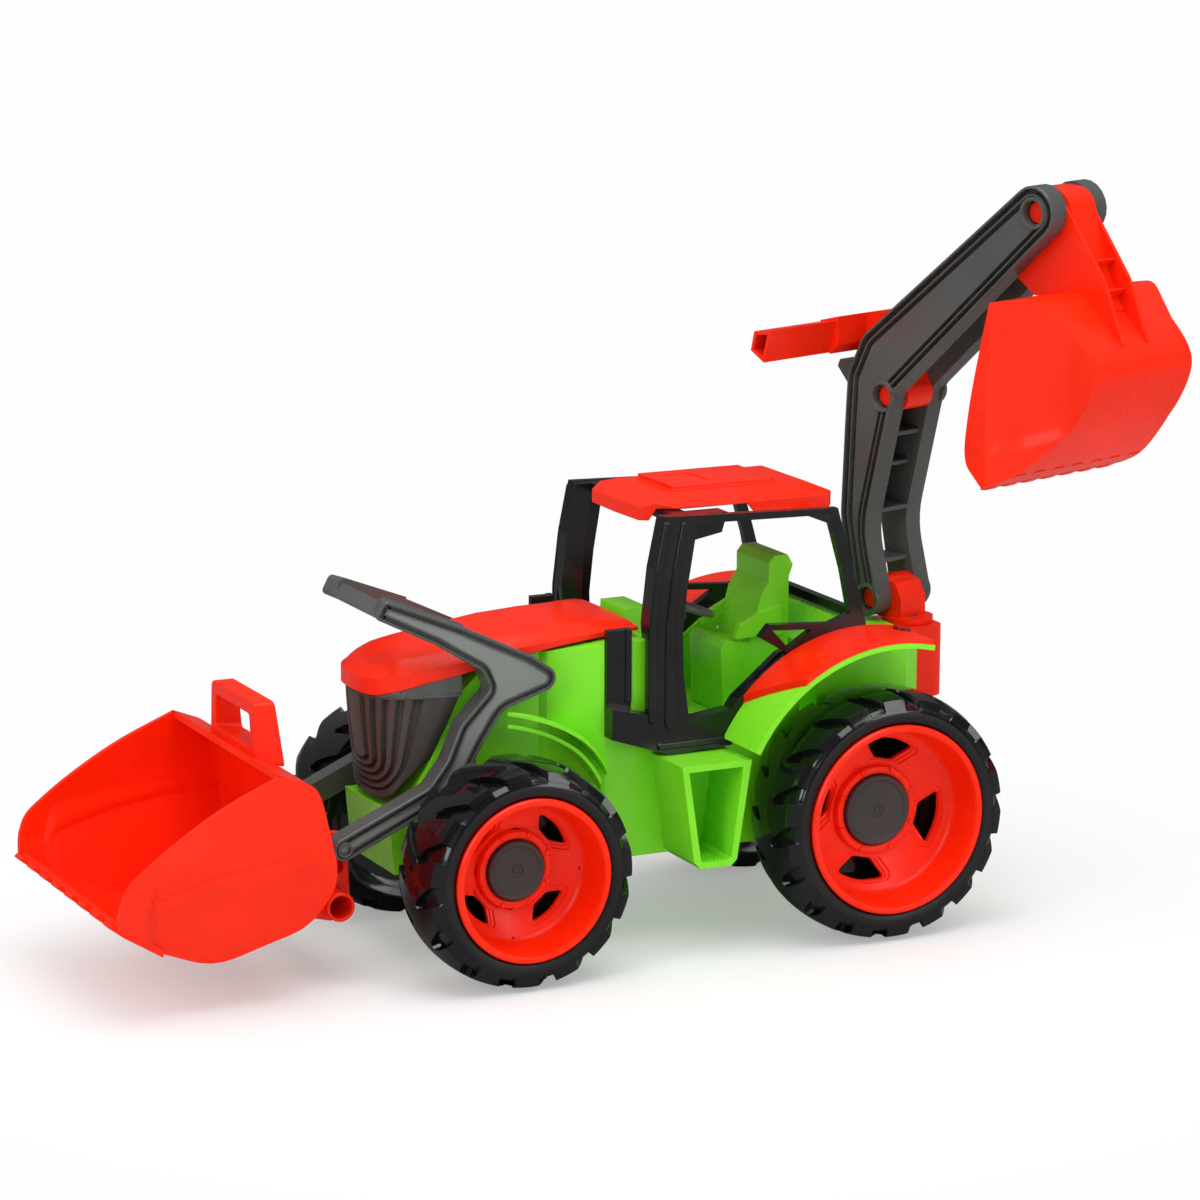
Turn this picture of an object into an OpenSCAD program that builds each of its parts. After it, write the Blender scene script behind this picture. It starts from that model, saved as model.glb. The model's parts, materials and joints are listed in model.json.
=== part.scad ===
// Ride-on-scale toy tractor with a front loader and a rear digging arm.
// Frame: +X forward, +Y to the tractor's left, +Z up, origin on the ground midway between the rear wheels.

/* [Wheels] */
// Distance between the two axles
wheelbase = 260; // [250:1:270]
// Rear tyre radius over the lugs
rear_wheel_r = 83; // [80:0.5:86]
// Front tyre radius over the lugs
front_wheel_r = 73; // [70:0.5:74]
// Width of each tyre
tyre_w = 57; // [50:1:58]
// Distance from the centre plane to a tyre's inner wall
track_in = 66; // [64:0.5:70]
// Number of lugs round a rear tyre
rear_lugs = 19; // [14:1:22]
// Number of lugs round a front tyre
front_lugs = 16; // [12:1:20]
// Radius of the steel axles
axle_r = 3; // [2.5:0.1:3.5]

/* [Body] */
// Half width of the bonnet beside the loader arms
hood_half = 42; // [38:0.5:42.5]
// Half width of the body under the cab
tub_half = 60; // [58:0.5:62]
// Half width of the roof
roof_half = 49; // [46:0.5:52]
// Half width over the rear mudguards
fender_half = 118; // [110:1:120]
// Wall thickness of the mouldings
wall = 3; // [2.4:0.1:3.4]

/* [Loader] */
// Loader arm pivot, distance ahead of the rear axle
lift_x = 238; // [236:0.5:239]
// Loader arm pivot height
lift_z = 184; // [182:0.5:186]
// Bucket pivot, distance ahead of the rear axle
scoop_x = 361; // [359:0.5:364]
// Bucket pivot height
scoop_z = 89; // [87:0.5:91]
// Inner face of the loader arms
arm_in = 43.5; // [43.5:0.5:45]
// Outer face of the loader arms
arm_out = 58; // [56:0.5:60]
// Half width of the loader bucket
scoop_half = 100; // [90:1:104]

/* [Digging arm] */
// Slew axis, distance behind the rear axle
slew_back = 75; // [74:0.5:77]
// Slew angle at rest, from straight behind towards the left side
slew_rest = 71.65; // [40:0.5:75]
// Overall width of the boom
boom_w = 54.5; // [52:0.5:58]
// Width of the gap between the boom's two cheeks
boom_gap = 25; // [24:0.5:27]
// Radius of the pins in the boom
boom_pin_r = 7; // [6:0.25:7.5]
// Half width of the digging bucket's mouth
digger_half = 70; // [62:1:74]

/* [Hidden] */

$fn = 64;

GREEN = [0.36, 0.78, 0.12];
RED = [0.93, 0.16, 0.06];
BLACK = [0.05, 0.05, 0.06];
GREY = [0.24, 0.25, 0.26];
STEEL = [0.72, 0.73, 0.75];

fit = 0.05;             // radial clearance of a running fit
gap = 0.3;              // clearance between neighbouring mouldings
rear_z = rear_wheel_r;
front_z = front_wheel_r;
wheel_out = track_in + tyre_w;

// ---------- helpers ----------

// Extrudes an outline drawn in X-Z to width w, centred on the plane Y = y.
module side(w, y = 0) {
    translate([0, y + w / 2, 0]) rotate([90, 0, 0]) linear_extrude(w) children();
}

// The same shape on the left and on the right.
module both() {
    children();
    mirror([0, 1, 0]) children();
}

// An outline mirrored over the centre line.
function mirrored(p) = concat(p, [for (i = [len(p) - 1 : -1 : 0]) [p[i][0], -p[i][1]]]);

// Points of an arc from angle a0 to a1.
function arc(c, r, a0, a1, n = 12) = [for (i = [0 : n]) c + r * [cos(a0 + (a1 - a0) * i / n), sin(a0 + (a1 - a0) * i / n)]];

// A rod along Y through (x, z).
module rod_y(x, z, r, y0, y1) {
    translate([x, y1, z]) rotate([90, 0, 0]) cylinder(r = r, h = y1 - y0);
}

// Places children drawn about a wheel's own centre, with +Y outwards.
module at_wheel(x, z, left) {
    if (left) translate([x, 0, z]) children();
    else translate([x, 0, z]) mirror([0, 1, 0]) children();
}

// ---------- wheels ----------

lug_h = 7;              // height of a lug
bead_drop = 21;         // from the lug tips down to the rim seat

module tyre(r, lugs) {
    root = r - lug_h;
    seat = r - bead_drop;
    color(BLACK) difference() {
        intersection() {
            union() {
                rotate([-90, 0, 0]) rotate_extrude() polygon([
                    [seat, track_in + 4], [root - 6, track_in], [root, track_in + 8],
                    [root, wheel_out - 8], [root - 6, wheel_out - 1], [seat + 1, wheel_out - 3]
                ]);
                for (i = [0 : lugs - 1], s = [0, 1])
                    rotate([0, (i + s / 2) * 360 / lugs, 0]) lug(root, 2 * PI * root / lugs, s);
            }
            rotate([-90, 0, 0]) cylinder(r = r, h = wheel_out);
        }
        rod_y(0, 0, seat, 0, wheel_out + 1);
    }
}

// One slanted tread block, on the inner (s = 0) or the outer (s = 1) half of the tread.
module lug(root, pitch, s) {
    mid = track_in + tyre_w / 2;
    edge = s == 0 ? track_in + 2 : wheel_out - 2;
    translate([0, 0, root - 2]) linear_extrude(lug_h + 2) polygon([
        [-pitch * 0.05, mid], [pitch * 0.22, mid], [pitch * 0.62, edge], [pitch * 0.2, edge]
    ]);
}

rim_bolts = 8;          // studs on the hub ring

// A dished rim with four windows round a hub.
module rim(r, cap_r) {
    seat = r - bead_drop;
    lip = wheel_out + 1;
    face = wheel_out - 25;
    color(RED) difference() {
        union() {
            rotate([-90, 0, 0]) rotate_extrude() polygon([
                [axle_r + fit, track_in + 1], [11, track_in + 1], [11, face - 14], [cap_r + 3, face - 14],
                [seat - 10, face - 8], [seat - 10, track_in + 8], [seat - fit, track_in + 8], [seat - fit, lip - 4],
                [seat + 1, lip - 3], [seat + 1, lip], [seat - 4, lip], [seat - 7, face], [cap_r + 6, face - 7],
                [cap_r + 6, face - 3], [cap_r + gap, face - 3], [cap_r + gap, face - 9], [axle_r + fit, face - 9]
            ]);
            for (i = [0 : rim_bolts - 1]) rotate([0, (i + 0.5) * 360 / rim_bolts, 0])
                rod_y(0, cap_r + 4, 1.6, face - 4, face - 1.8);
        }
        for (i = [0 : 3]) rotate([0, i * 90, 0]) rim_window(seat, cap_r);
    }
}

// One four-sided window through the rim's face, wider towards the outside.
module rim_window(seat, cap_r) {
    inner = cap_r + 10;
    outer = seat - 10.5;
    side(40, wheel_out - 28) polygon([
        [-outer * 0.13, inner], [outer * 0.13, inner], [outer * 0.36, outer * 0.86],
        [0, outer * 0.93], [-outer * 0.36, outer * 0.86]
    ]);
}

module hubcap(cap_r) {
    back = wheel_out - 34 + gap;
    color(GREY) rotate([-90, 0, 0]) rotate_extrude() polygon([
        [0, back + 3.2], [7, back + 3.2], [7, back], [cap_r, back], [cap_r, back + 6], [cap_r - 1, back + 7],
        [cap_r - 3, back + 7], [cap_r - 4, back + 5.6], [4, back + 5.8], [3, back + 5], [0, back + 5]
    ]);
}

front_cap_r = 19.4;
rear_cap_r = 23.4;

// ---------- axles ----------

axle_half = wheel_out - 31.2;   // half length of an axle
nut_half = wheel_out - 33.6;    // inner face of the push nuts

module axle(x, z) {
    color(STEEL) rod_y(x, z, axle_r, -axle_half, axle_half);
}

// Push nuts that keep the wheels on, one at each end of each axle.
module axle_nuts() {
    color(STEEL) both() {
        for (p = [[0, rear_z], [wheelbase, front_z]]) difference() {
            rod_y(p[0], p[1], 6, nut_half, nut_half + 1.2);
            rod_y(p[0], p[1], axle_r + 0.02, nut_half - 1, nut_half + 3);
        }
    }
}

// ---------- chassis ----------

floor_z = 139;          // top of the cab floor
sill_z = 70;            // underside of the body
tub_rear = -56;         // back wall of the body
neck_x = 213;           // where the body narrows for the loader arms
post_x = 147;           // back face of the front posts
fender_r = 112.5;       // inner radius of the rear mudguards
fender_t = 3.5;         // thickness of the rear mudguards
nose_half = 36;         // half width of the body between the loader arms
nose_front = [[318, 62], [322, 104], [309, 104], [300, 121], [272, 176]];
shelf_z = 186;          // deck behind the seat

module chassis_profile() {
    polygon(concat([[tub_rear, 62]], nose_front, [
        [256, 191], [neck_x, 199], [174, 204], [post_x, 204], [post_x, floor_z], [28, floor_z],
        [26, shelf_z], [14, shelf_z + 4], [8, 203], [-6, 203], [-12, shelf_z], [tub_rear, shelf_z]
    ]));
}

// Plan of the body: narrow between the loader arms, flaring to the cab.
module chassis_plan() {
    polygon(mirrored([
        [tub_rear, 46], [-40, tub_half], [160, tub_half], [180, tub_half - 3], [neck_x, nose_half + 4],
        [neck_x + 4, nose_half], [330, nose_half]
    ]));
}

module chassis() {
    color(GREEN) difference() {
        union() {
            intersection() {
                side(2 * tub_half) chassis_profile();
                translate([0, 0, 60]) linear_extrude(150) chassis_plan();
            }
            both() {
                side_wall();
                front_post();
                rear_mudguard();
                front_mudguard();
                step();
            }
            dashboard();
        }
        body_cavity();
        rod_y(0, rear_z, axle_r + 0.02, -wheel_out, wheel_out);
        rod_y(wheelbase, front_z, axle_r + 0.02, -wheel_out, wheel_out);
        column_hole();
        at_bracket_screws() cylinder(r = 1.6, h = 20);
        both() {
            lift_pin_hole();
            vent_recess();
            plate_screw_hole();
        }
    }
}

axle_boss_r = 7.5;      // radius of the bosses round the axles, inside the body

// Hollow of the body, open underneath.
module body_cavity() {
    difference() {
        intersection() {
            side(2 * (tub_half - wall)) polygon([
                [tub_rear + wall, 50], [314, 50], [318, 100], [306, 100], [296, 120], [269, 173],
                [254, 187], [neck_x - wall, 195], [post_x + wall, 200], [post_x + wall, floor_z - wall],
                [25, floor_z - wall], [23, shelf_z - wall], [tub_rear + wall, shelf_z - wall]
            ]);
            translate([0, 0, 40]) linear_extrude(170) polygon(mirrored([
                [tub_rear + wall, 43], [-40, tub_half - wall], [159, tub_half - wall], [179, tub_half - 2 * wall],
                [neck_x, nose_half - wall], [340, nose_half - wall]
            ]));
        }
        for (p = [[0, rear_z], [wheelbase, front_z]]) both()
            rod_y(p[0], p[1], axle_boss_r, 20, tub_half);
        rod_y(lift_x, lift_z, 10, -tub_half, tub_half);
        on_column() translate([0, 0, -14]) cylinder(r = 8, h = 14);
        both() plate_boss();
    }
}

// Low wall along the cab floor, behind the cab frame.
module side_wall() {
    side(wall, tub_half - wall / 2) polygon([
        [post_x + 1, 136], [post_x + 1, 152], [122, 148], [92, 156], [52, 186], [40, 186], [40, 136]
    ]);
}

// Green post in front of the windscreen pillar.
module front_post() {
    translate([post_x, 45, 150]) cube([14, tub_half - 2 - 45, 53]);
}

// Dashboard between the bonnet and the steering wheel.
module dashboard() {
    side(36) polygon([[133, 136], [129, 170], [124, 205], [130, 216], [post_x, 216], [post_x + 2, 190], [post_x + 2, 136]]);
}

// Ring sector about the rear axle between two radii, from y0 to y1.
module rear_arch(r0, r1, y0, y1, a0 = 28, a1 = 104) {
    intersection() {
        difference() {
            rod_y(0, rear_z, r1, y0, y1);
            rod_y(0, rear_z, r0, y0 - 1, y1 + 1);
        }
        side(y1 - y0 + 2, (y0 + y1) / 2) polygon(concat([[0, rear_z]], arc([0, rear_z], 170, a0, a1, 8)));
    }
}

arch_drop = 8.5;        // how far the arch steps down beside the cab frame

// Arched guard over a rear tyre, stepped down under the cab frame.
module rear_mudguard() {
    low = fender_r - arch_drop;
    rear_arch(fender_r, fender_r + fender_t, cab_out + gap, fender_half);
    rear_arch(low, fender_r + fender_t, cab_out + gap, cab_out + gap + wall);
    rear_arch(low, low + fender_t, tub_half - 2, cab_out + gap + wall);
}

fin_r = 92;             // inner radius of the front mudguard fins

// Two leaf-shaped fins that guard the front tyre.
module front_mudguard() {
    for (k = [0, 1]) intersection() {
        difference() {
            rod_y(wheelbase, front_z, fin_r + 2.5 - 8 * k, nose_half, tub_half + 18 - 6 * k);
            rod_y(wheelbase, front_z, fin_r - 8 * k, nose_half - 1, tub_half + 30);
        }
        translate([0, 0, 90]) linear_extrude(90) polygon([
            [178 + 4 * k, tub_half - 6], [neck_x, nose_half + 2], [neck_x, arm_out + 2],
            [250, arm_out + 2], [236, tub_half + 10 - 4 * k], [206, tub_half + 18 - 6 * k], [182 + 4 * k, tub_half + 4]
        ]);
    }
}

step_out = 104;         // outer edge of the step
step_top = 130 - gap;   // the step ends under the cab frame

// Open-fronted foot step between the wheels.
module step() {
    difference() {
        side(step_out - tub_half + 2, (step_out + tub_half - 2) / 2)
            polygon([[148, step_top], [98, step_top], [108, 65], [112, 61], [134, 61], [139, 66]]);
        side(step_out - tub_half, (step_out + tub_half) / 2 + 1)
            polygon([[143, step_top - 4], [104, step_top - 4], [112, 67], [115, 65], [132, 65], [134, 67]]);
    }
    for (i = [0 : 7]) translate([112 + 2.6 * i, tub_half + 4, 64]) cube([1.2, step_out - tub_half - 4, 2]);
}

module lift_pin_hole() {
    rod_y(lift_x, lift_z, lift_pin_r + 0.02, nose_half - 14, tub_half);
}

// Vent seat in the flank.
module vent_recess() {
    translate([162.7, tub_half - 5, 158.7]) cube([17.6, 10, 54.6]);
}

// ---------- underside ----------

plate_screws = [[60, 34], [190, 24], [-30, 30]];

module plate_boss() {
    for (p = plate_screws) translate([p[0], p[1], 65 + gap]) cylinder(r = 5, h = 150);
}

module plate_screw_hole() {
    for (p = plate_screws) translate([p[0], p[1], 60]) cylinder(r = 1.5, h = 24);
}

// Flat cover that closes the body from below.
module underbody_plate() {
    color(GREEN) difference() {
        translate([0, 0, 62]) linear_extrude(3) polygon(mirrored([
            [tub_rear + wall + gap, 42], [-40, tub_half - wall - gap], [158, tub_half - wall - gap],
            [178, tub_half - 2 * wall - gap], [neck_x - 1, nose_half - wall - gap], [300, nose_half - wall - gap]
        ]));
        both() for (p = plate_screws) translate([p[0], p[1], 60]) {
            cylinder(r = 1.8, h = 10);
            cylinder(r = 3.2, h = 4);
        }
    }
}

module body_screws() {
    color(STEEL) both() for (p = plate_screws) translate([p[0], p[1], 62.2]) {
        cylinder(r = 1.48, h = 20);
        cylinder(r = 3, h = 1.7);
    }
}

// ---------- bonnet ----------

module hood_profile(d) {
    polygon([
        [152 + d, 213 - d], [165, 214.5 - d], [199, 215.5 - d], [226, 214.3 - d], [252, 210.8 - d], [298, 203.5 - d],
        [326 - d, 193 - d], [333 - d, 185], [333 - d, 178.5 - d], [328, 178.5 - d], [297, 186.5 - d],
        [278, 189 - d], [227, 198.7 - d], [neck_x, 201 - d], [174, 206.5 - d], [152 + d, 209 - d]
    ]);
}

module hood_plan(d) {
    polygon(mirrored([
        [152 + d, 48 - d], [180, 46 - d], [neck_x, hood_half - d], [300, hood_half - d], [314, 39 - d],
        [325, 31 - d], [331 - d, 20 - d / 2], [333 - d, 0]
    ]));
}

// Solid shape of the bonnet, d inside its skin, with a chamfer that grows towards the nose.
module hood_solid(d) {
    difference() {
        intersection() {
            side(2 * tub_half) hood_profile(d);
            translate([0, 0, 150]) linear_extrude(80) hood_plan(d);
        }
        both() translate([300, 18, 203 - d]) rotate([-27.4, 4.2, -11.5]) translate([-200, 0, 0]) cube([300, 100, 50]);
    }
}

module hood() {
    color(RED) difference() {
        hood_solid(0);
        hood_solid(wall);
    }
}

// ---------- grille and headlights ----------

grille_top = 178;
grille_bottom = 107;

module grille_slice(z, half, front, d) {
    translate([0, 0, z]) linear_extrude(0.5) polygon(mirrored([
        [262, half - d], [front - 26, half - d], [front - 10, half * 0.78 - d], [front - 2 - d, half * 0.42], [front - d, 0]
    ]));
}

// Solid block behind the grille's face, d inside it.
module grille_block(d) {
    hull() {
        grille_slice(grille_top - 0.5, hood_half - 0.5, 331, d);
        grille_slice(grille_bottom + d, hood_half - 10, 322, d);
    }
}

lamp_line = [[272, 174.7], [331, 178]];     // seam between the grille and the headlights

module grille() {
    color(GREY) difference() {
        grille_block(0);
        grille_block(wall);
        side(200) polygon(concat([[200, 60]], [for (p = nose_front) p + [gap, gap]], [[272.3, 200], [200, 200]]));
        side(200) polygon(concat(lamp_line, [[340, 178], [340, 200], [200, 200], [200, 174.7]]));
        for (i = [-3 : 3], s = [-1, 1]) translate([309 - abs(i), i * 9 + s * 2 - 0.8, 114]) cube([40, 1.6, 54]);
    }
}

// Clear lens that fills the wedge between the grille and the bonnet.
module headlight() {
    color([0.75, 0.78, 0.8, 0.6]) intersection() {
        side(30, 30) polygon([[273, 175.2], [273, 189], [297, 186.1], [326.5, 178.2]]);
        translate([0, 0, 150]) linear_extrude(60) difference() {
            hood_plan(0.5);
            hood_plan(4);
        }
    }
}

// ---------- flank vents ----------

module vent() {
    color(BLACK) {
        translate([163, tub_half - 4.7, 159]) cube([17, 4.2, 54]);
        translate([163, tub_half - 4.7, 165]) cube([4, 6, 48]);
    }
}

// ---------- cab ----------

cab_in = 66;            // inner face of the cab sides
cab_out = 72;           // outer face of the cab sides

frame_low_r = fender_r - arch_drop + fender_t + gap;    // the frame rests on the stepped arch

module cab_side_outline() {
    difference() {
        polygon(concat([
            [182, 144], [182, 164], [156, 158], [156, 216], [152, 252], [145, 286], [20, 282], [9, 244], [-2, 204]
        ], arc([0, rear_z], frame_low_r, 91, 27, 12), [[140, 130]]));
        polygon([
            [122, 280], [129, 238], [132, 210], [131, 180], [127, 152], [96, 156], [92, 162], [56, 189],
            [76, 201], [69, 209], [25, 206], [10, 211], [16, 240], [27, 278]
        ]);
        polygon([[67, 205], [38, 203], [55, 192]]);
    }
}

header_z = 279;         // underside of the bar over the windscreen

module cab_frame() {
    color(BLACK) {
        both() {
            side(cab_out - cab_in, (cab_in + cab_out) / 2) cab_side_outline();
            cab_sill();
            side(8, cab_in - 3) polygon([
                [post_x - gap, 160], [post_x - gap, 206], [155, 206], [156, 216], [152, 252], [145, 285],
                [133, 285], [138, 250], [141, 216], [141, 160]
            ]);
            work_light_box();
        }
        translate([122, -cab_in, header_z]) cube([12, 2 * cab_in, 6]);
        translate([16, -cab_in, 271]) cube([8, 2 * cab_in, 6]);
        translate([-3, -cab_in, 205]) cube([6, 2 * cab_in, 6]);
    }
}

// Ledge that ties the cab side to the body.
module cab_sill() {
    side(cab_in - tub_half - gap, (cab_in + tub_half + gap) / 2) polygon(concat([
        [182, 144], [182, 164], [150, 157], [127, 152], [96, 156], [92, 162], [60, 188], [40, 196]
    ], arc([0, rear_z], frame_low_r, 66, 27, 8), [[140, 130]]));
}

// Lamp housing under the roof's front corner.
module work_light_box() {
    side(14, cab_in - 6) polygon([[124, 285], [98, 285], [102, 272], [124, 268]]);
}

// ---------- roof ----------

roof_rear = 8;          // rear edge of the roof
roof_front = 147;       // front edge of the visor
roof_top = 293;         // top of the roof's main panel

module roof_plan(d) {
    polygon(mirrored([
        [roof_rear + d, 40 - d], [roof_rear + 6 + d, roof_half - d], [126 - d, roof_half - d],
        [146 - d, 34 - d], [roof_front - d, 0]
    ]));
}

// Cross-section of the roof: upright sides below sloping shoulders.
module roof_section(d) {
    polygon([for (s = [-1, 1], k = s < 0 ? [0, 1, 2] : [2, 1, 0])
        [s * [roof_half - d, roof_half - d, 30][k], [250, 287 - d, roof_top - d][k]]]);
}

// The roof's mass, d inside its skin.
module roof_solid(d) {
    intersection() {
        translate([0, 0, 250]) linear_extrude(60) roof_plan(d);
        rotate([90, 0, 90]) linear_extrude(200) roof_section(d);
        side(2 * roof_half) polygon([
            [roof_rear, 260], [roof_rear, 287 - d], [22, roof_top - d], [128, roof_top - d], [roof_front, 286 - d],
            [roof_front, 260]
        ]);
    }
}

// Cuts the lower edge: high over the doors, low at the back and at the visor.
module roof_edge_cut() {
    side(3 * roof_half) polygon([
        [0, 250], [0, 277.3], [67, 277.3], [74, 285.3], [136, 285.3], [140, 277.3], [150, 277.3], [150, 250]
    ]);
}

hatch = [84, -15];      // rear right corner of the hatch
hatch_size = [28, 30];
hatch_floor = 293;      // bottom of the hatch's recess
peg = hatch + hatch_size / 2;

module roof() {
    color(RED) difference() {
        union() {
            roof_solid(0);
            translate([42, -25, roof_top - 1]) cube([75, 50, 4]);
        }
        difference() {
            roof_solid(wall);
            translate([peg[0], peg[1], 280]) cylinder(r = 6, h = 20);
        }
        roof_edge_cut();
        translate([hatch[0], hatch[1], hatch_floor]) cube([hatch_size[0], hatch_size[1], 10]);
        translate([peg[0], peg[1], 270]) cylinder(r = 3, h = 40);
    }
}

// Loose hatch in the roof with a peg that snaps into it.
module roof_hatch() {
    color(RED) {
        translate([hatch[0] + gap, hatch[1] + gap, hatch_floor + gap])
            cube([hatch_size[0] - 2 * gap, hatch_size[1] - 2 * gap, 2]);
        translate([peg[0], peg[1], 287]) cylinder(r = 2.9, h = 8);
    }
}

// ---------- seat and steering ----------

module seat() {
    color(GREEN) difference() {
        union() {
            side(46) polygon([
                [29, floor_z + gap], [77, floor_z + gap], [79, 184], [76, 189], [58, 186], [50, 216], [44, 226],
                [44, 238], [40, 243], [30, 243], [26, 236], [29, 228]
            ]);
            both() side(5, 23) polygon([[34, 190], [70, 190], [66, 199], [52, 206], [36, 210]]);
        }
        side(40) polygon([[33, 130], [73, 130], [75, 181], [56, 181], [46, 212], [40, 224], [33, 224]]);
    }
}

column_x = 124;         // foot of the steering column on the cab floor
column_tilt = 19.6;     // lean of the column towards the seat
column_len = 76.7;      // from the floor to the steering wheel
spindle_r = 4;          // spindle at both ends of the column

module on_column() {
    translate([column_x, 0, floor_z]) rotate([0, -column_tilt, 0]) children();
}

module column_hole() {
    on_column() translate([0, 0, -20]) cylinder(r = spindle_r + 0.02, h = 40);
}

module steering_column() {
    color(BLACK) on_column() {
        translate([0, 0, -11]) cylinder(r = spindle_r, h = column_len + 15);
        translate([0, 0, 4]) cylinder(r = 6.5, h = column_len - 9);
    }
}

module steering_wheel() {
    color(GREY) on_column() translate([0, 0, column_len]) {
        difference() {
            union() {
                rotate_extrude() translate([22, 0]) circle(r = 2.3);
                cylinder(r = 7, h = 6, center = true);
                for (a = [0 : 120 : 240]) rotate([0, 0, a]) translate([5, -2.5, -1.2]) cube([17, 5, 2.4]);
            }
            translate([0, 0, -10]) cylinder(r = spindle_r + fit, h = 20);
        }
    }
}

// ---------- mudguard covers and tail lights ----------

cover_t = 3.5;          // thickness of a mudguard cover

// Red cap that lies on a rear mudguard.
module fender_cover() {
    inner = fender_r + fender_t + 0.1;
    color(RED) difference() {
        intersection() {
            rear_arch(inner, inner + cover_t, cab_out + gap, fender_half, 38, 103);
            linear_extrude(250) polygon([
                [-60, cab_out], [88, cab_out], [66, fender_half + 1], [-60, fender_half + 1]
            ]);
        }
        translate([tail_x, tail_y, 150]) cylinder(r = tail_r + gap, h = 70);
    }
}

tail_x = -20;
tail_y = 88;
tail_r = 6;

module tail_light() {
    color([0.5, 0.05, 0.03]) intersection() {
        translate([tail_x, tail_y, 150]) cylinder(r = tail_r, h = 70);
        rear_arch(fender_r + fender_t + 0.1, fender_r + fender_t + cover_t + 2, cab_out, fender_half);
    }
}

// ---------- loader ----------

lift_pin_r = 5;
tube_r = 5;             // outer radius of the bucket tube
boss_r = 7.5;           // radius of the arm's end round the bucket tube

module arm_outline() {
    difference() {
        union() {
            polygon([
                [326, 243.5], [319, 239.5], [279, 224], [232, 202], [222, 197], [215.5, 188], [217, 180], [233, 175],
                [251, 168.5], [260, 158], [267, 144], [280, 122], [300, 108.5], [356, 82], [367, 89], [362, 98],
                [302, 122.5], [296, 133], [290, 141], [282, 160], [273, 172], [263, 181], [260, 188],
                [266, 194.5], [297, 213.5], [337, 232], [335, 240]
            ]);
            translate([scoop_x, scoop_z]) circle(r = boss_r);
        }
        translate([scoop_x, scoop_z]) circle(r = tube_r + 0.02);
    }
}

lean_x = 275;           // where the arm starts to lean inwards towards the grip
lean = 13;              // lean of the upper arm

module arm_blank() {
    difference() {
        side(arm_out - arm_in, (arm_in + arm_out) / 2) arm_outline();
        side(8, arm_out + 1) arm_pocket();
    }
}

// Boomerang-shaped lift arm: its upper end leans in to the grip, its inner face has a blind pivot hole.
module loader_arm() {
    color(GREY) difference() {
        union() {
            difference() {
                arm_blank();
                translate([lean_x, 0, 190]) cube(200);
            }
            translate([lean_x - 0.5, arm_out - 0.1, 0]) rotate([0, 0, -lean]) translate([-lean_x, -arm_out, 0]) intersection() {
                arm_blank();
                translate([lean_x, 0, 190]) cube(200);
            }
        }
        side(2 * arm_out + 2) grip_outline(0.02);
        rod_y(lift_x, lift_z, lift_pin_r + fit, arm_in - 1, arm_in + 8);
    }
}

module arm_pocket() {
    polygon([
        [314, 233], [280, 220], [234, 198], [225, 193], [219.5, 187.5], [221, 183.5], [235, 179],
        [254, 172], [258, 180], [256, 189], [263, 198], [295, 217], [316, 227]
    ]);
}

grip_half = 43.5;       // half length of the grip

module grip_outline(d) {
    polygon([[320 - d, 236.5], [328.5, 229.5 - d], [332 + d, 233], [324, 240 + d]]);
}

// Hollow cross bar that lifts the loader.
module loader_grip() {
    color(GREY) difference() {
        side(2 * grip_half) grip_outline(0);
        side(2 * arm_out + 2) polygon([[322, 236.4], [328.4, 231.4], [330, 233.1], [324.2, 238.1]]);
    }
}

module loader_pivot_pins() {
    color(GREY) both() rod_y(lift_x, lift_z, lift_pin_r, nose_half - 13.5, arm_in + 7.5);
}

module scoop_tube() {
    color(GREY) difference() {
        rod_y(scoop_x, scoop_z, tube_r, -arm_out - 1, arm_out + 1);
        rod_y(scoop_x, scoop_z, tube_r - 1.6, -arm_out - 2, arm_out + 2);
    }
}

// Side outlines of the bucket's outer skin and of its hollow.
scoop_outer = [
    [418, 151.5], [397, 143], [392, 134], [384, 94], [382, 78], [387, 64], [398, 52], [458, 32], [502, 50],
    [524, 68], [523, 79], [519, 93], [495, 112], [458, 135]
];
scoop_hollow = [
    [424, 170], [414, 147], [401, 140], [396, 132], [388, 94], [386, 79], [391, 67], [401, 56], [458, 36.5],
    [500, 53.5], [530, 76], [560, 120], [500, 180]
];
scoop_tuck = 20;        // how far the cheeks tuck in towards the floor
scoop_crease_z = 97;    // height of the crease along a cheek

// Volume between the bucket's cheeks, d inside the outer skin.
module between_cheeks(d) {
    translate([380, 0, scoop_crease_z]) rotate([0, 8, 0]) translate([-60, 0, 0]) rotate([90, 0, 90])
        linear_extrude(300) polygon([
            [scoop_half - d, 0], [scoop_half - d, 160], [d - scoop_half, 160], [d - scoop_half, 0],
            [d + scoop_tuck - scoop_half, -70], [scoop_half - d - scoop_tuck, -70]
        ]);
}

lower_tube = [scoop_x - 1, scoop_z - 14.5];     // small tube below the pivot
lower_ring = [scoop_x + 3, scoop_z - 37];       // large ring at the foot of the hinge plates

module loader_bucket() {
    color(RED) difference() {
        union() {
            difference() {
                intersection() {
                    side(2 * scoop_half) polygon(scoop_outer);
                    between_cheeks(0);
                }
                intersection() {
                    side(2 * scoop_half) polygon(scoop_hollow);
                    between_cheeks(4);
                }
            }
            scoop_handle();
            both() scoop_lug();
            rod_y(lower_tube[0], lower_tube[1], 6, -lug_out, lug_out);
        }
        rod_y(scoop_x, scoop_z, tube_r + fit, -60, 60);
        rod_y(lower_tube[0], lower_tube[1], 4.4, -60, 60);
        rod_y(lower_ring[0], lower_ring[1], 9, -60, 60);
        for (i = [-4 : 3]) translate([511, i * 22 + 6, 52]) rotate([0, -40, 0]) cube([30, 10, 14]);
    }
}

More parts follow.
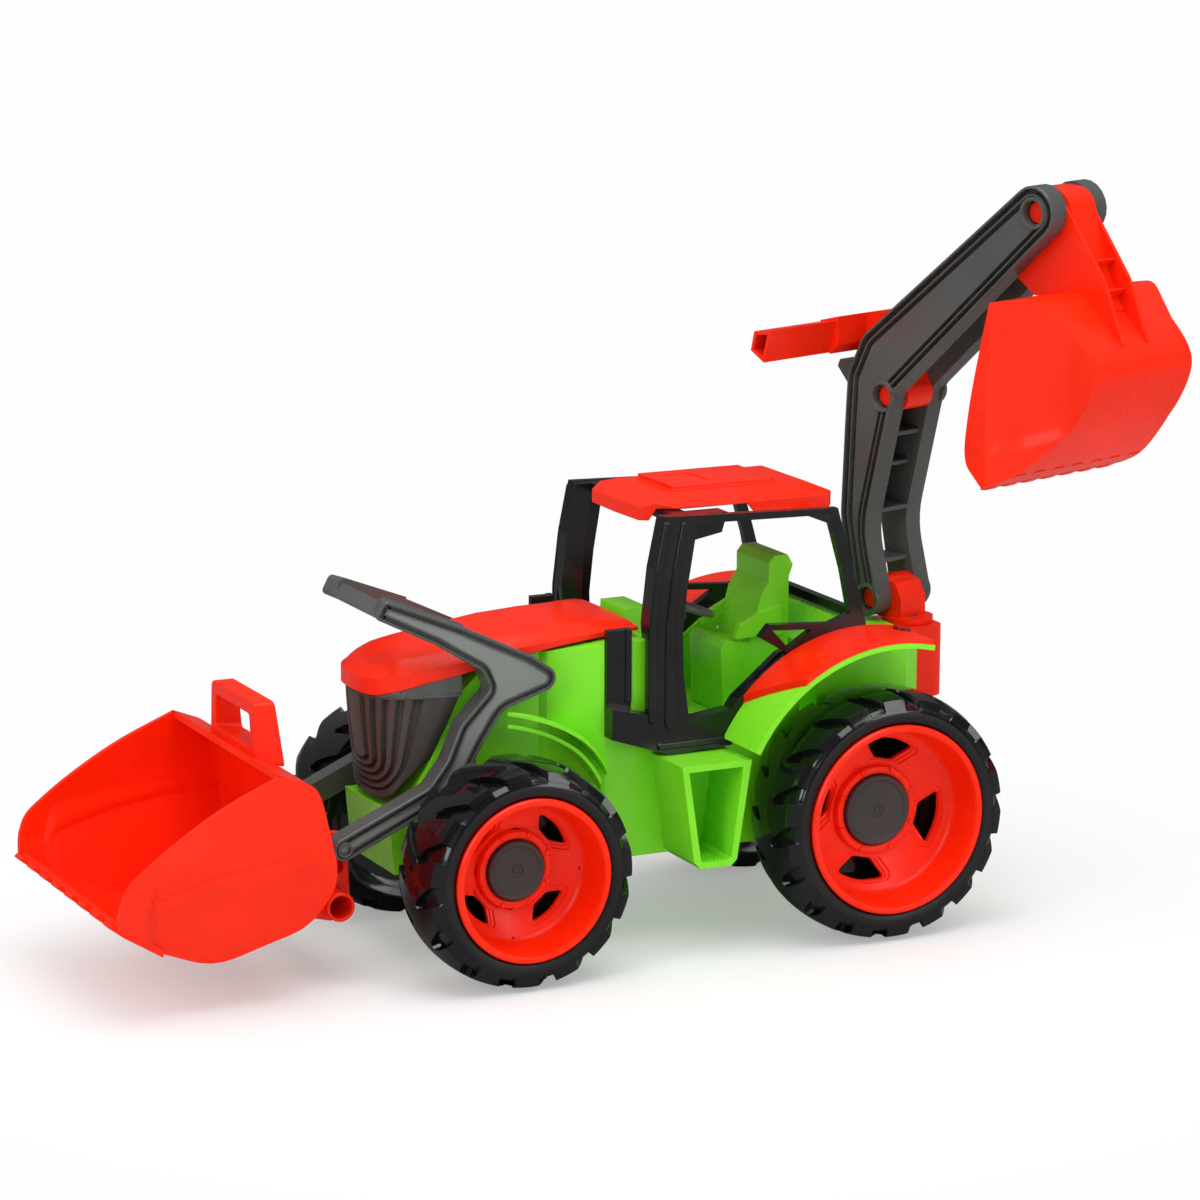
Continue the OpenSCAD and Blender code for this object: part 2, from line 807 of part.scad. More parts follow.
// Folded handle on the bucket's back rim.
module scoop_handle() {
    difference() {
        side(78) polygon([[398, 140], [414, 146], [416, 182], [400, 184]]);
        side(64) polygon([[390, 152], [430, 152], [430, 176], [390, 176]]);
        side(72) polygon([[395, 150], [412, 150], [412.5, 179], [395, 179]]);
    }
}

lug_out = arm_in - 1;   // outer face of the hinge plates

// Hinge plate on the bucket's back, just inside a loader arm.
module scoop_lug() {
    side(lug_out - nose_half - 1, (lug_out + nose_half + 1) / 2) {
        polygon([
            [388, 100], [scoop_x + 2, scoop_z + boss_r], [scoop_x - 7, scoop_z - 2], [scoop_x - 9, scoop_z - 30],
            [scoop_x + 3, scoop_z - 50], [402, 49], [388, 64]
        ]);
        translate([scoop_x, scoop_z]) circle(r = boss_r);
        translate(lower_ring) circle(r = 13);
    }
}

// ---------- digging arm: base ----------

housing_top = 184;
housing_half = 24;
spigot_r = 8;

module housing_plan(d) {
    polygon(mirrored(concat(
        [[tub_rear - gap - 2 - d, housing_half - d]],
        arc([-80, housing_half - 12], 12 - d, 90, 180, 6)
    )));
}

// Red bracket on the back of the body that carries the slewing post.
module backhoe_housing() {
    color(RED) difference() {
        union() {
            translate([0, 0, 136]) linear_extrude(housing_top - 136) housing_plan(0);
            translate([tub_rear - 6, -36, 140]) cube([6 - gap, 72, 40]);
        }
        translate([0, 0, 130]) linear_extrude(housing_top - deck_t - 130) housing_plan(wall);
        translate([-slew_back, 0, 100]) cylinder(r = spigot_r + fit, h = 120);
        at_bracket_screws() translate([0, 0, -4]) cylinder(r = 1.6, h = 20);
    }
}

deck_t = 4;             // thickness of the bracket's deck
turret_t = 4;           // thickness of the turret's disc

// Pin that the turret turns on, with a head under the bracket's deck.
module slew_pin() {
    color(GREY) translate([-slew_back, 0, housing_top - deck_t - gap]) {
        cylinder(r = spigot_r, h = deck_t + turret_t + 2 * gap);
        translate([0, 0, -3]) cylinder(r = spigot_r + 3, h = 3);
    }
}

// Moves children drawn in the boom's own frame, X along its reach and Y across it, to the slewed rest pose.
module on_slew() {
    translate([-slew_back, 0, 0]) rotate([0, 0, 180 - slew_rest]) children();
}

foot = [-14, 201];      // boom foot pivot, reach and height
elbow = [-3, 340];      // elbow pivot
tip = [123.4, 474];     // boom tip pivot

module turret() {
    color(RED) on_slew() difference() {
        union() {
            translate([0, 0, housing_top + gap]) cylinder(r = 17, h = turret_t);
            side(boom_gap - 2 * gap) {
                translate(foot) circle(r = 14);
                polygon([[-10, 185], [5, 185], [4.5, 201], [-1, 211], [-14, 215], [-26, 208], [-26, 194]]);
            }
        }
        rod_y(foot[0], foot[1], boom_pin_r + fit, -30, 30);
        translate([0, 0, 150]) cylinder(r = spigot_r + 0.02, h = housing_top + turret_t + gap - 150);
    }
}

// ---------- digging arm: boom ----------

cheek_t = (boom_w - boom_gap) / 2;
tip_r = 17;             // radius of the cheeks' upper ends
foot_r = 12.5;          // radius of the cheeks' lower ends
front_edge = [[-26.5, 203], [-38.5, 255], [-35.8, 314], [-32.7, 356], [-25, 374], [-5, 392.5], [112.7, 487.2]];
rear_edge = [[135.1, 461.6], [6, 343], [-17, 247], [-2, 204]];

// One cheek, centred across the boom at y.
module cheek(y) {
    side(cheek_t, y) {
        polygon(concat(front_edge, rear_edge));
        translate(tip) circle(r = tip_r);
        translate(foot) circle(r = foot_r);
        translate(elbow) circle(r = boom_pin_r + 3.5);
    }
}

// Pockets in a cheek's outer face, above and below the elbow.
module cheek_pocket() {
    polygon([[-18, 222], [-33, 258], [-30.5, 313], [-28, 352], [-20, 355], [-14, 330], [-21, 250]]);
    polygon([[-22, 368], [-2, 388], [100, 471], [98, 452], [16, 362], [-6, 356]]);
}

module boom() {
    color(GREY) on_slew() difference() {
        union() {
            for (s = [-1, 1]) cheek(s * (boom_gap + cheek_t) / 2);
            side(boom_gap + 1) boom_webs();
            side(boom_gap) polygon([[-33, 324], [-47, 343], [-56, 353], [-54, 358], [-44, 358], [-36, 350], [-33, 349]]);
        }
        for (s = [-1, 1]) side(12, s * boom_w / 2) cheek_pocket();
        for (p = [foot, elbow, tip]) rod_y(p[0], p[1], boom_pin_r + 0.02, -40, 40);
    }
}

web_t = 3;              // thickness of the boom's webs

// Shelves and front walls that join the two cheeks.
module boom_webs() {
    for (z = [223, 258, 289]) translate([-34, z]) square([20, web_t]);
    translate([-34, 311]) square([31, web_t]);
    polygon([[-38.5, 255], [-35.8, 314], [-34.8, 326], [-31.5, 324], [-32.5, 314], [-35.3, 256]]);
    polygon([[45, 432.8], [88, 467.4], [90, 465], [47, 430.4]]);
}

module boom_pin(p) {
    color(RED) on_slew() rod_y(p[0], p[1], boom_pin_r, -boom_w / 2 + 6, boom_w / 2 - 6);
}

// ---------- digging arm: control lever and push rod ----------

boom_lean = 46.7;       // direction from the elbow to the tip
crank_r = 13;           // distance from a pivot to its rod pin
crank = crank_r * [cos(boom_lean + 90), sin(boom_lean + 90)];
rod_pin_r = 2.5;
rod_w = 6.4;            // width of the push rod
rod_swing = 32;         // swing the slots allow the rod

// Slot for the push rod, which leaves the crank pin at p in direction a.
module rod_slot_cut(p, a) {
    side(rod_w + 2 * gap, 0) translate(p + crank) {
        circle(r = 6.2);
        polygon(concat([6.2 * [cos(a - 90), sin(a - 90)]], arc([0, 0], 60, a - 6, a + rod_swing, 3),
            [6.2 * [cos(a + rod_swing + 90), sin(a + rod_swing + 90)]]));
    }
}

grip_end = 104;         // reach of the grip across the boom

module control_lever() {
    color(RED) on_slew() difference() {
        union() {
            side(boom_gap - 2 * gap) {
                translate(elbow) circle(r = 11);
                polygon([
                    [-13, 335], [6, 345], [-2, 362], [-9, 396], [-31, 392], [-47, 387], [-50, 374], [-38, 366],
                    [-28, 362], [-20, 348]
                ]);
            }
            side(30, -25) polygon([[-50, 374], [-47, 388], [-31, 392], [-30.5, 373], [-38, 366]]);
            side(grip_end, -grip_end / 2) polygon([[-50, 374], [-47, 387], [-32, 389], [-38, 367]]);
        }
        side(grip_end - 20, -grip_end / 2 - 12) polygon([[-47.4, 375], [-45, 384.7], [-35, 386], [-39.2, 370.4]]);
        rod_y(elbow[0], elbow[1], boom_pin_r + fit, -30, 30);
        rod_slot_cut(elbow, boom_lean);
        rod_y(elbow[0] + crank[0], elbow[1] + crank[1], rod_pin_r + 0.02, -9.02, 9.02);
    }
}

module rod_pin(p) {
    color(STEEL) on_slew() rod_y(p[0] + crank[0], p[1] + crank[1], rod_pin_r, -9, 9);
}

// Rod that carries the lever's swing to the digging bucket, with an eye at each end.
module push_rod() {
    a = elbow + crank;
    b = tip + crank;
    eye_r = 5.2;
    across = 2.8 * crank / crank_r;
    along = 3.6 * (b - a) / norm(b - a);
    color(GREY) on_slew() difference() {
        union() {
            for (p = [a, b]) rod_y(p[0], p[1], eye_r, -rod_w / 2, rod_w / 2);
            side(rod_w - 1) polygon([
                a + along + across, b - along + across, b - along - across, a + along - across
            ]);
        }
        rod_y(a[0], a[1], rod_pin_r + fit, -9, 9);
        rod_y(b[0], b[1], rod_pin_r + 0.4, -9, 9);
    }
}

// ---------- digging bucket ----------

// Side outlines of the digging bucket's skin and hollow.
digger_outer = [
    [126, 421], [108, 326], [110, 316], [124, 301], [141, 308], [158, 321], [182, 345], [194, 367],
    [197, 380], [192, 392], [154, 426]
];
digger_hollow = [
    [80, 413], [126, 417.4], [152, 422.3], [189, 390], [193.4, 380], [190.6, 368], [179.2, 347],
    [156, 324], [139.4, 311.6], [123, 304.8], [80, 286]
];

// Plan of the digging bucket, tapering from its mouth, d inside the skin.
module digger_plan(d) {
    polygon(mirrored([
        [70, digger_half - d], [126, digger_half - d], [150, digger_half - 8 - d], [178, digger_half - 20 - d],
        [210, digger_half - 22 - d]
    ]));
}

module digger_shell(outline, d) {
    intersection() {
        side(2 * digger_half) polygon(outline);
        translate([0, 0, 280]) linear_extrude(160) digger_plan(d);
    }
}

module digging_bucket() {
    color(RED) on_slew() difference() {
        union() {
            difference() {
                digger_shell(digger_outer, 0);
                digger_shell(digger_hollow, 3.5);
                for (i = [-3 : 2]) translate([112, i * 20 + 5, 290]) cube([14, 10, 17]);
            }
            side(boom_gap - 2 * gap) {
                translate(tip) circle(r = 15.5);
                difference() {
                    polygon([[109, 468], [94, 431], [115, 420], [153, 424], [188, 394], [171, 434], [138.5, 478]]);
                    polygon([[128, 455], [122, 432], [151, 430], [164, 424], [150, 450]]);
                }
            }
            side(3) polygon([[109, 468], [94, 431], [115, 420], [153, 424], [188, 394], [171, 434], [138.5, 478]]);
        }
        rod_y(tip[0], tip[1], boom_pin_r + fit, -30, 30);
        rod_slot_cut(tip, boom_lean + 180);
        rod_y(tip[0] + crank[0], tip[1] + crank[1], rod_pin_r + 0.02, -9.02, 9.02);
    }
}

// The screws' places, with Z running into the body.
module at_bracket_screws() {
    for (y = [-30, 30], z = [150, 170]) translate([tub_rear - 6, y, z]) rotate([0, 90, 0]) children();
}

// Screws that hold the bracket to the body.
module housing_screws() {
    color(STEEL) at_bracket_screws() {
        cylinder(r = 1.58, h = 8.5);
        translate([0, 0, -2]) cylinder(r = 3, h = 2);
    }
}

chassis();
underbody_plate();
hood();
grille();
headlight();  // headlight_left
mirror([0, 1, 0]) headlight();  // headlight_right
vent();  // vent_left
mirror([0, 1, 0]) vent();  // vent_right
cab_frame();
roof();
roof_hatch();
seat();
steering_wheel();
steering_column();
fender_cover();  // fender_cover_left
mirror([0, 1, 0]) fender_cover();  // fender_cover_right
tail_light();  // tail_light_left
mirror([0, 1, 0]) tail_light();  // tail_light_right
axle(wheelbase, front_z);  // front_axle
axle(0, rear_z);  // rear_axle
axle_nuts();
at_wheel(wheelbase, front_z, true) tyre(front_wheel_r, front_lugs);  // tyre_front_left
at_wheel(wheelbase, front_z, true) rim(front_wheel_r, front_cap_r);  // rim_front_left
at_wheel(wheelbase, front_z, true) hubcap(front_cap_r);  // hubcap_front_left
at_wheel(wheelbase, front_z, false) tyre(front_wheel_r, front_lugs);  // tyre_front_right
at_wheel(wheelbase, front_z, false) rim(front_wheel_r, front_cap_r);  // rim_front_right
at_wheel(wheelbase, front_z, false) hubcap(front_cap_r);  // hubcap_front_right
at_wheel(0, rear_z, true) tyre(rear_wheel_r, rear_lugs);  // tyre_rear_left
at_wheel(0, rear_z, true) rim(rear_wheel_r, rear_cap_r);  // rim_rear_left
at_wheel(0, rear_z, true) hubcap(rear_cap_r);  // hubcap_rear_left
at_wheel(0, rear_z, false) tyre(rear_wheel_r, rear_lugs);  // tyre_rear_right
at_wheel(0, rear_z, false) rim(rear_wheel_r, rear_cap_r);  // rim_rear_right
at_wheel(0, rear_z, false) hubcap(rear_cap_r);  // hubcap_rear_right
loader_arm();  // loader_arm_left
mirror([0, 1, 0]) loader_arm();  // loader_arm_right
loader_grip();
loader_pivot_pins();
scoop_tube();
loader_bucket();
backhoe_housing();
turret();
slew_pin();
boom();
boom_pin(foot);  // boom_foot_pin
boom_pin(elbow);  // boom_elbow_pin
boom_pin(tip);  // boom_tip_pin
control_lever();
push_rod();
rod_pin(elbow);  // rod_pin_lower
rod_pin(tip);  // rod_pin_upper
digging_bucket();
body_screws();
housing_screws();
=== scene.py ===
"""Looks of the toy backhoe loader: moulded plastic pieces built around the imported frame.

Lengths in the outlines below are in millimetres in the row frame; mm() turns them into metres.
"""

import json
import math

import bmesh
import bpy
import numpy as np
from mathutils import Matrix, Vector

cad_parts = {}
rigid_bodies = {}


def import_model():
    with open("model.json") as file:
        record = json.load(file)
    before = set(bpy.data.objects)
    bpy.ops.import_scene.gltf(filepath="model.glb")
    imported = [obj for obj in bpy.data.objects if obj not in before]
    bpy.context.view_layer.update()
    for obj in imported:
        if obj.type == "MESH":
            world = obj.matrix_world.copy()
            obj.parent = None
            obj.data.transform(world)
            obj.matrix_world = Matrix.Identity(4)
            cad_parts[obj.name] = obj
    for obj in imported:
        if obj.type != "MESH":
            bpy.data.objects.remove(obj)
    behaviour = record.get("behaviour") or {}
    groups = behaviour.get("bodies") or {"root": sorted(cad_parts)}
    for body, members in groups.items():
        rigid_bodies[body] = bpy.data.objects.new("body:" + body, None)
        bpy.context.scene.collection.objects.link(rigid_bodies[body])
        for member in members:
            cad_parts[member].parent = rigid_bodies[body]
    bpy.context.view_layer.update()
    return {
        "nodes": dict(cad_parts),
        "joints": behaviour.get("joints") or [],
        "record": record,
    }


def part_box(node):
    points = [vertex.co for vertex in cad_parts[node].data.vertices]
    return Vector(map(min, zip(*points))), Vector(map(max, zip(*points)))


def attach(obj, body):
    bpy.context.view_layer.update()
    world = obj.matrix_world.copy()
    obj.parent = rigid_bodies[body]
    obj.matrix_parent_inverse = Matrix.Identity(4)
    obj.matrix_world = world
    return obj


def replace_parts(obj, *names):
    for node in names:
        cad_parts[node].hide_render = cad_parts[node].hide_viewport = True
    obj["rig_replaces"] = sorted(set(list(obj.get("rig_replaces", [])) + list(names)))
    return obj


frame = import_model()

MM = 0.001
nodes = frame["nodes"]
joints = {j["name"]: j for j in frame["joints"]}
body_of_node = {n: b for b, ns in frame["record"]["behaviour"]["bodies"].items() for n in ns}
slot_of_node = {s["node"]: s["material_slot"] for s in frame["record"]["subparts"]}


def mm(*values):
    """Millimetres to metres, as a vector."""
    return Vector(values) * MM


def pivot(joint):
    """A joint's position in millimetres."""
    return [v / MM for v in joints[joint]["pos_m"]]


# ---------------------------------------------------------------- materials


def plastic(name, colour, rough, wave=0.06, grain=0.02, variation=0.08, coat=0.0, glow=0.0, scuff=0.5,
            shine=0.5):
    """Moulded plastic: slight colour drift, uneven gloss, shallow flow waves, fine grain and faint scuffs."""
    mat = bpy.data.materials.new(name)
    mat.use_nodes = True
    tree = mat.node_tree
    link = tree.links.new
    shader = tree.nodes["Principled BSDF"]

    def node(kind, **values):
        made = tree.nodes.new(kind)
        for key, value in values.items():
            if key in made.inputs:
                made.inputs[key].default_value = value
            else:
                setattr(made, key, value)
        return made

    place = node("ShaderNodeTexCoord")

    def noise(scale, detail, distortion=0.0):
        made = node("ShaderNodeTexNoise", Scale=scale, Detail=detail, Distortion=distortion)
        link(place.outputs["Object"], made.inputs["Vector"])
        return made.outputs["Fac"]

    def remap(value, low, high, low_out, high_out):
        made = node("ShaderNodeMapRange")
        link(value, made.inputs["Value"])
        for key, number in zip(("From Min", "From Max", "To Min", "To Max"), (low, high, low_out, high_out)):
            made.inputs[key].default_value = number
        return made.outputs["Result"]

    drift = noise(14.0, 3.0)
    tint = node("ShaderNodeMix", data_type="RGBA", blend_type="MIX")
    darker = [c * (1 - variation) for c in colour]
    lighter = [min(1.0, c * (1 + variation) + 0.004) for c in colour]
    tint.inputs[6].default_value = (*darker, 1)
    tint.inputs[7].default_value = (*lighter, 1)
    link(remap(drift, 0.3, 0.7, 0.0, 1.0), tint.inputs[0])
    link(tint.outputs[2], shader.inputs["Base Color"])

    stretched = node("ShaderNodeMapping")
    stretched.inputs["Scale"].default_value = (60.0, 900.0, 500.0)
    stretched.inputs["Rotation"].default_value = (0.5, 0.3, 0.7)
    link(place.outputs["Object"], stretched.inputs["Vector"])
    scratches = node("ShaderNodeTexNoise", Scale=1.0, Detail=4.0)
    link(stretched.outputs["Vector"], scratches.inputs["Vector"])
    patches = remap(noise(30.0, 4.0, 0.4), 0.45, 0.75, 0.0, 0.16 * scuff)
    lines = remap(scratches.outputs["Fac"], 0.62, 0.72, 0.0, 0.12 * scuff)
    total = node("ShaderNodeMath", operation="ADD")
    link(patches, total.inputs[0])
    link(lines, total.inputs[1])
    uneven = node("ShaderNodeMath", operation="ADD")
    link(total.outputs[0], uneven.inputs[0])
    uneven.inputs[1].default_value = rough
    link(uneven.outputs[0], shader.inputs["Roughness"])

    flow = node("ShaderNodeBump", Strength=wave, Distance=0.002)
    link(noise(35.0, 2.0, 0.6), flow.inputs["Height"])
    fine = node("ShaderNodeBump", Strength=grain, Distance=0.0003)
    link(noise(1400.0, 2.0), fine.inputs["Height"])
    link(flow.outputs["Normal"], fine.inputs["Normal"])
    link(fine.outputs["Normal"], shader.inputs["Normal"])
    shader.inputs["Specular IOR Level"].default_value = shine
    shader.inputs["Coat Weight"].default_value = coat
    shader.inputs["Coat Roughness"].default_value = 0.08
    if glow:
        shader.inputs["Subsurface Weight"].default_value = glow
        shader.inputs["Subsurface Radius"].default_value = (0.004, 0.002, 0.001)
        shader.inputs["Subsurface Scale"].default_value = 1.0
    return mat


def lens_material(name, colour, rough):
    """Clear moulded lens with a faint ripple."""
    mat = plastic(name, colour, rough, wave=0.15, scuff=0.2)
    shader = mat.node_tree.nodes["Principled BSDF"]
    shader.inputs["Transmission Weight"].default_value = 0.92
    shader.inputs["IOR"].default_value = 1.3
    return mat


def steel_material(name):
    """Drawn steel with lengthwise marks."""
    mat = plastic(name, (0.55, 0.55, 0.57), 0.3, wave=0.05, grain=0.1)
    mat.node_tree.nodes["Principled BSDF"].inputs["Metallic"].default_value = 1.0
    return mat


MATERIALS = {
    "green": plastic("green_plastic", (0.22, 0.78, 0.02), 0.26, glow=0.1, scuff=0.2, shine=0.35),
    "red": plastic("red_plastic", (0.93, 0.018, 0.0), 0.27, wave=0.03, glow=0.03, scuff=0.15, shine=0.25),
    "black": plastic("black_plastic", (0.006, 0.006, 0.007), 0.17, wave=0.1, variation=0.2),
    "dark_grey": plastic(
        "dark_grey_plastic", (0.080, 0.085, 0.081), 0.26, wave=0.08, variation=0.1, scuff=0.3),
    "arm_panel": plastic("arm_panel_plastic", (0.20, 0.215, 0.20), 0.34, scuff=0.3),
    "grille_grey": plastic("grille_plastic", (0.066, 0.056, 0.051), 0.36, wave=0.06, grain=0.06),
    "tyre_black": plastic("tyre_plastic", (0.004, 0.004, 0.005), 0.1, wave=0.22, variation=0.3, coat=0.3),
    "tyre_wall": plastic("tyre_wall_plastic", (0.009, 0.009, 0.010), 0.4, wave=0.08, grain=0.1),
    "cap_grey": plastic("cap_plastic", (0.045, 0.046, 0.044), 0.48, grain=0.3, wave=0.05),
    "clear_lens": lens_material("clear_plastic", (0.86, 0.88, 0.88), 0.08),
    "tail_lens": plastic("tail_lens_plastic", (0.16, 0.004, 0.003), 0.12, coat=0.5),
    "steel": steel_material("steel"),
}


# ---------------------------------------------------------------- mesh tools


def add(obj, body, slot, *replaced, extra=()):
    """Puts a finished piece on its body, with its material and the CAD nodes it stands for."""
    if obj.name not in bpy.context.scene.collection.objects:
        bpy.context.scene.collection.objects.link(obj)
    obj.data.materials.clear()
    obj.data.materials.append(MATERIALS[slot])
    for name in extra:
        obj.data.materials.append(MATERIALS[name])
    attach(obj, body)
    if replaced:
        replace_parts(obj, *replaced)
    return obj


def new_object(name, verts, faces, smooth=True):
    mesh = bpy.data.meshes.new(name)
    mesh.from_pydata([tuple(v) for v in verts], [], faces)
    mesh.validate()
    mesh.polygons.foreach_set("use_smooth", [smooth] * len(mesh.polygons))
    return bpy.data.objects.new(name, mesh)


def grid_faces(rows, cols, wrap_rows=False, wrap_cols=False, start=0):
    """Quads of a grid of points stored row by row."""
    faces = []
    for i in range(rows if wrap_rows else rows - 1):
        for j in range(cols if wrap_cols else cols - 1):
            a, b = i % rows, (i + 1) % rows
            c, d = j % cols, (j + 1) % cols
            faces.append(tuple(start + k for k in (a * cols + c, a * cols + d, b * cols + d, b * cols + c)))
    return faces


def lathe(profile, steps, centre, side=1, close=True):
    """Points and faces of a (radius, y) profile turned about an axis along Y; side -1 mirrors it."""
    verts = []
    for k in range(steps):
        a = 2 * math.pi * k / steps
        for radius, y in profile:
            verts.append(mm(centre[0] + radius * math.cos(a), side * y, centre[1] + radius * math.sin(a)))
    return verts, grid_faces(steps, len(profile), wrap_rows=True, wrap_cols=close)


def merge(*parts):
    """Joins (verts, faces) pairs into one."""
    verts, faces = [], []
    for v, f in parts:
        base = len(verts)
        verts += list(v)
        faces += [tuple(base + k for k in face) for face in f]
    return verts, faces


def shade_smooth(obj):
    obj.data.polygons.foreach_set("use_smooth", [True] * len(obj.data.polygons))


def tidy_mesh(obj, merge=1e-6, degenerate=True):
    """Joins points that meet, turns every face outwards and shades the mesh smooth."""
    bm = bmesh.new()
    bm.from_mesh(obj.data)
    if merge:
        bmesh.ops.remove_doubles(bm, verts=bm.verts, dist=merge)
    if merge and degenerate:
        bmesh.ops.dissolve_degenerate(bm, dist=1e-6, edges=bm.edges)
    bmesh.ops.recalc_face_normals(bm, faces=bm.faces)
    bm.to_mesh(obj.data)
    bm.free()
    shade_smooth(obj)


def soften(obj, width, angle=32, segments=3, weld=False):
    """Rounds the sharp edges like a moulding's."""
    if weld:
        joined = obj.modifiers.new("weld", "WELD")
        joined.merge_threshold = 1e-5
        flat = obj.modifiers.new("flat", "DECIMATE")
        flat.decimate_type = "DISSOLVE"
        flat.angle_limit = math.radians(1.2)
    bevel = obj.modifiers.new("edges", "BEVEL")
    bevel.width = width * MM
    bevel.segments = segments
    bevel.limit_method = "ANGLE"
    bevel.angle_limit = math.radians(angle)
    bevel.use_clamp_overlap = True
    bevel.harden_normals = True
    normals = obj.modifiers.new("normals", "WEIGHTED_NORMAL")
    normals.keep_sharp = True
    return obj


def sharpen(obj, angle=40):
    """Keeps edges over an angle sharp in a smooth-shaded mesh."""
    obj.data.set_sharp_from_angle(angle=math.radians(angle))
    return obj


def arc(centre, radius, start, end, steps):
    """Points along an arc from start to end degrees."""
    return [
        (centre[0] + radius * math.cos(math.radians(start + (end - start) * k / steps)),
         centre[1] + radius * math.sin(math.radians(start + (end - start) * k / steps)))
        for k in range(steps + 1)
    ]


def fillet(points, radius, steps=4):
    """A closed outline with its corners rounded by curves that start radius before each corner."""
    out = []
    count = len(points)
    for i, p in enumerate(points):
        p = Vector(p)
        before, after = Vector(points[i - 1]), Vector(points[(i + 1) % count])
        r = radius[i] if isinstance(radius, (list, tuple)) else radius
        a = p + (before - p).normalized() * min(r, 0.45 * (before - p).length)
        b = p + (after - p).normalized() * min(r, 0.45 * (after - p).length)
        for k in range(steps + 1):
            t = k / steps
            out.append(tuple(a * (1 - t) ** 2 + p * 2 * t * (1 - t) + b * t * t))
    return out


def anticlockwise(points):
    """The outline, turned round if it runs clockwise."""
    area = sum(a[0] * b[1] - b[0] * a[1] for a, b in zip(points, points[1:] + points[:1]))
    return points if area > 0 else points[::-1]


def rounded(corners, inwards=0.0, steps=5):
    """Outline of (x, z, radius) corners, anticlockwise, moved inwards; its corners stay concentric."""
    count = len(corners)
    out = []
    for i in range(count):
        before, corner, after = (Vector(corners[(i + k) % count][:2]) for k in (-1, 0, 1))
        into, away = (corner - before).normalized(), (after - corner).normalized()
        left_in, left_away = Vector((-into.y, into.x)), Vector((-away.y, away.x))
        bend = math.atan2(into.cross(away), into.dot(away))
        corner = corner + (left_in + left_away) * (inwards / (1 + left_in.dot(left_away)))
        radius = max(0.3, corners[i][2] - inwards) if bend > 0 else corners[i][2] + inwards
        start = corner - into * (radius * math.tan(abs(bend) / 2))
        centre = start + left_in * math.copysign(radius, bend)
        for k in range(steps + 1):
            out.append(tuple(centre + Matrix.Rotation(bend * k / steps, 2) @ (start - centre)))
    return out


def end_cap(centre, radius, heading):
    """The two corners of a round end that points along heading (degrees)."""
    ahead = Vector((math.cos(math.radians(heading)), math.sin(math.radians(heading)))) * radius
    left = Vector((-ahead.y, ahead.x))
    middle = Vector(centre) + ahead
    return [(*(middle - left), radius * 0.98), (*(middle + left), radius * 0.98)]


def plate(outline, back, front, rings, to_space):
    """Solid plate between back and front whose front face steps through rings of (inset, depth)."""
    if len(outline[0]) == 2:
        outline = [(*p, 0.0) for p in outline]
    outline = anticlockwise(outline)
    steps = 5 if any(p[2] for p in outline) else 0
    sign = 1 if front > back else -1
    loops = [[(*p, back) for p in ring_line(outline, 0.0, steps)]]
    for distance, depth in rings:
        loops.append([(*p, front - sign * depth) for p in ring_line(outline, distance, steps)])
    count = len(loops[0])
    verts = [to_space(*v) for loop in loops for v in loop]
    faces = grid_faces(len(loops), count, wrap_cols=True)
    faces.append(tuple(range(count))[::-1])
    last = (len(loops) - 1) * count
    faces.append(tuple(range(last, last + count)))
    return verts, faces


def ring_line(outline, distance, steps):
    """One ring of a plate; a sharp-cornered outline keeps its corners."""
    if steps:
        return rounded(outline, distance, steps)
    return [p[:2] for p in outline]


HOLE_SIDES = 40
HOLE_REACH = 60         # how far a cutter goes on each side of its point


def cut_round(obj, points, radius, axis):
    """Bores through holes of one radius at several points, along an axis."""
    parts = []
    turn = Vector(axis).to_track_quat("Z", "Y").to_matrix()
    ring = []
    for k in range(HOLE_SIDES):
        a = 2 * math.pi * k / HOLE_SIDES
        ring.append((radius * math.cos(a), radius * math.sin(a)))
    for p in points:
        verts = [turn @ Vector((x, y, h)) * MM + p for h in (-HOLE_REACH, HOLE_REACH) for x, y in ring]
        faces = grid_faces(2, HOLE_SIDES, wrap_cols=True)
        faces += [tuple(range(HOLE_SIDES))[::-1], tuple(range(HOLE_SIDES, 2 * HOLE_SIDES))]
        parts.append((verts, faces))
    cutter = new_object(obj.name + "_cutter", *merge(*parts))
    tidy_mesh(cutter)
    bpy.context.scene.collection.objects.link(cutter)
    cut = obj.modifiers.new("holes", "BOOLEAN")
    cut.operation = "DIFFERENCE"
    cut.solver = "MANIFOLD"
    cut.object = cutter
    apply_modifiers(obj)
    bpy.data.objects.remove(cutter)


def apply_modifiers(obj):
    """Bakes the modifiers into the mesh."""
    if obj.name not in bpy.context.scene.collection.objects:
        bpy.context.scene.collection.objects.link(obj)
    bpy.context.view_layer.update()
    graph = bpy.context.evaluated_depsgraph_get()
    mesh = bpy.data.meshes.new_from_object(obj.evaluated_get(graph))
    obj.modifiers.clear()
    obj.data = mesh


def ramp(value, low, high):
    """0 below low, 1 above high, smooth between."""
    t = min(1.0, max(0.0, (value - low) / (high - low)))
    return t * t * (3 - 2 * t)


# ---------------------------------------------------------------- wheels

POCKET_DEPTH = 4.6
POCKET_COLUMNS = [0, 0.03, 0.1, 0.2, 0.3, 0.42, 0.47, 0.5, 0.54, 0.6, 0.7, 0.8, 0.9, 0.96]
TREAD_ROWS = [0, 0.08, 0.16, 0.24, 0.32, 0.36, 0.39, 0.42, 0.5, 0.6, 0.7, 0.8, 0.88, 0.94, 1.0]


def pocket_angle(u, t):
    """Place round the tread, in pitches, of column u at t from the centre (0) to the shoulder (1)."""
    lead = -0.12 + 0.3 * t
    trail = lead + 0.14 + 0.30 * t
    slanted = lead + (trail - lead) * u / 0.5 if u < 0.5 else trail + (lead + 1 - trail) * (u - 0.5) / 0.5
    return u + (slanted - u) * ramp(t, 0.0, 0.2)


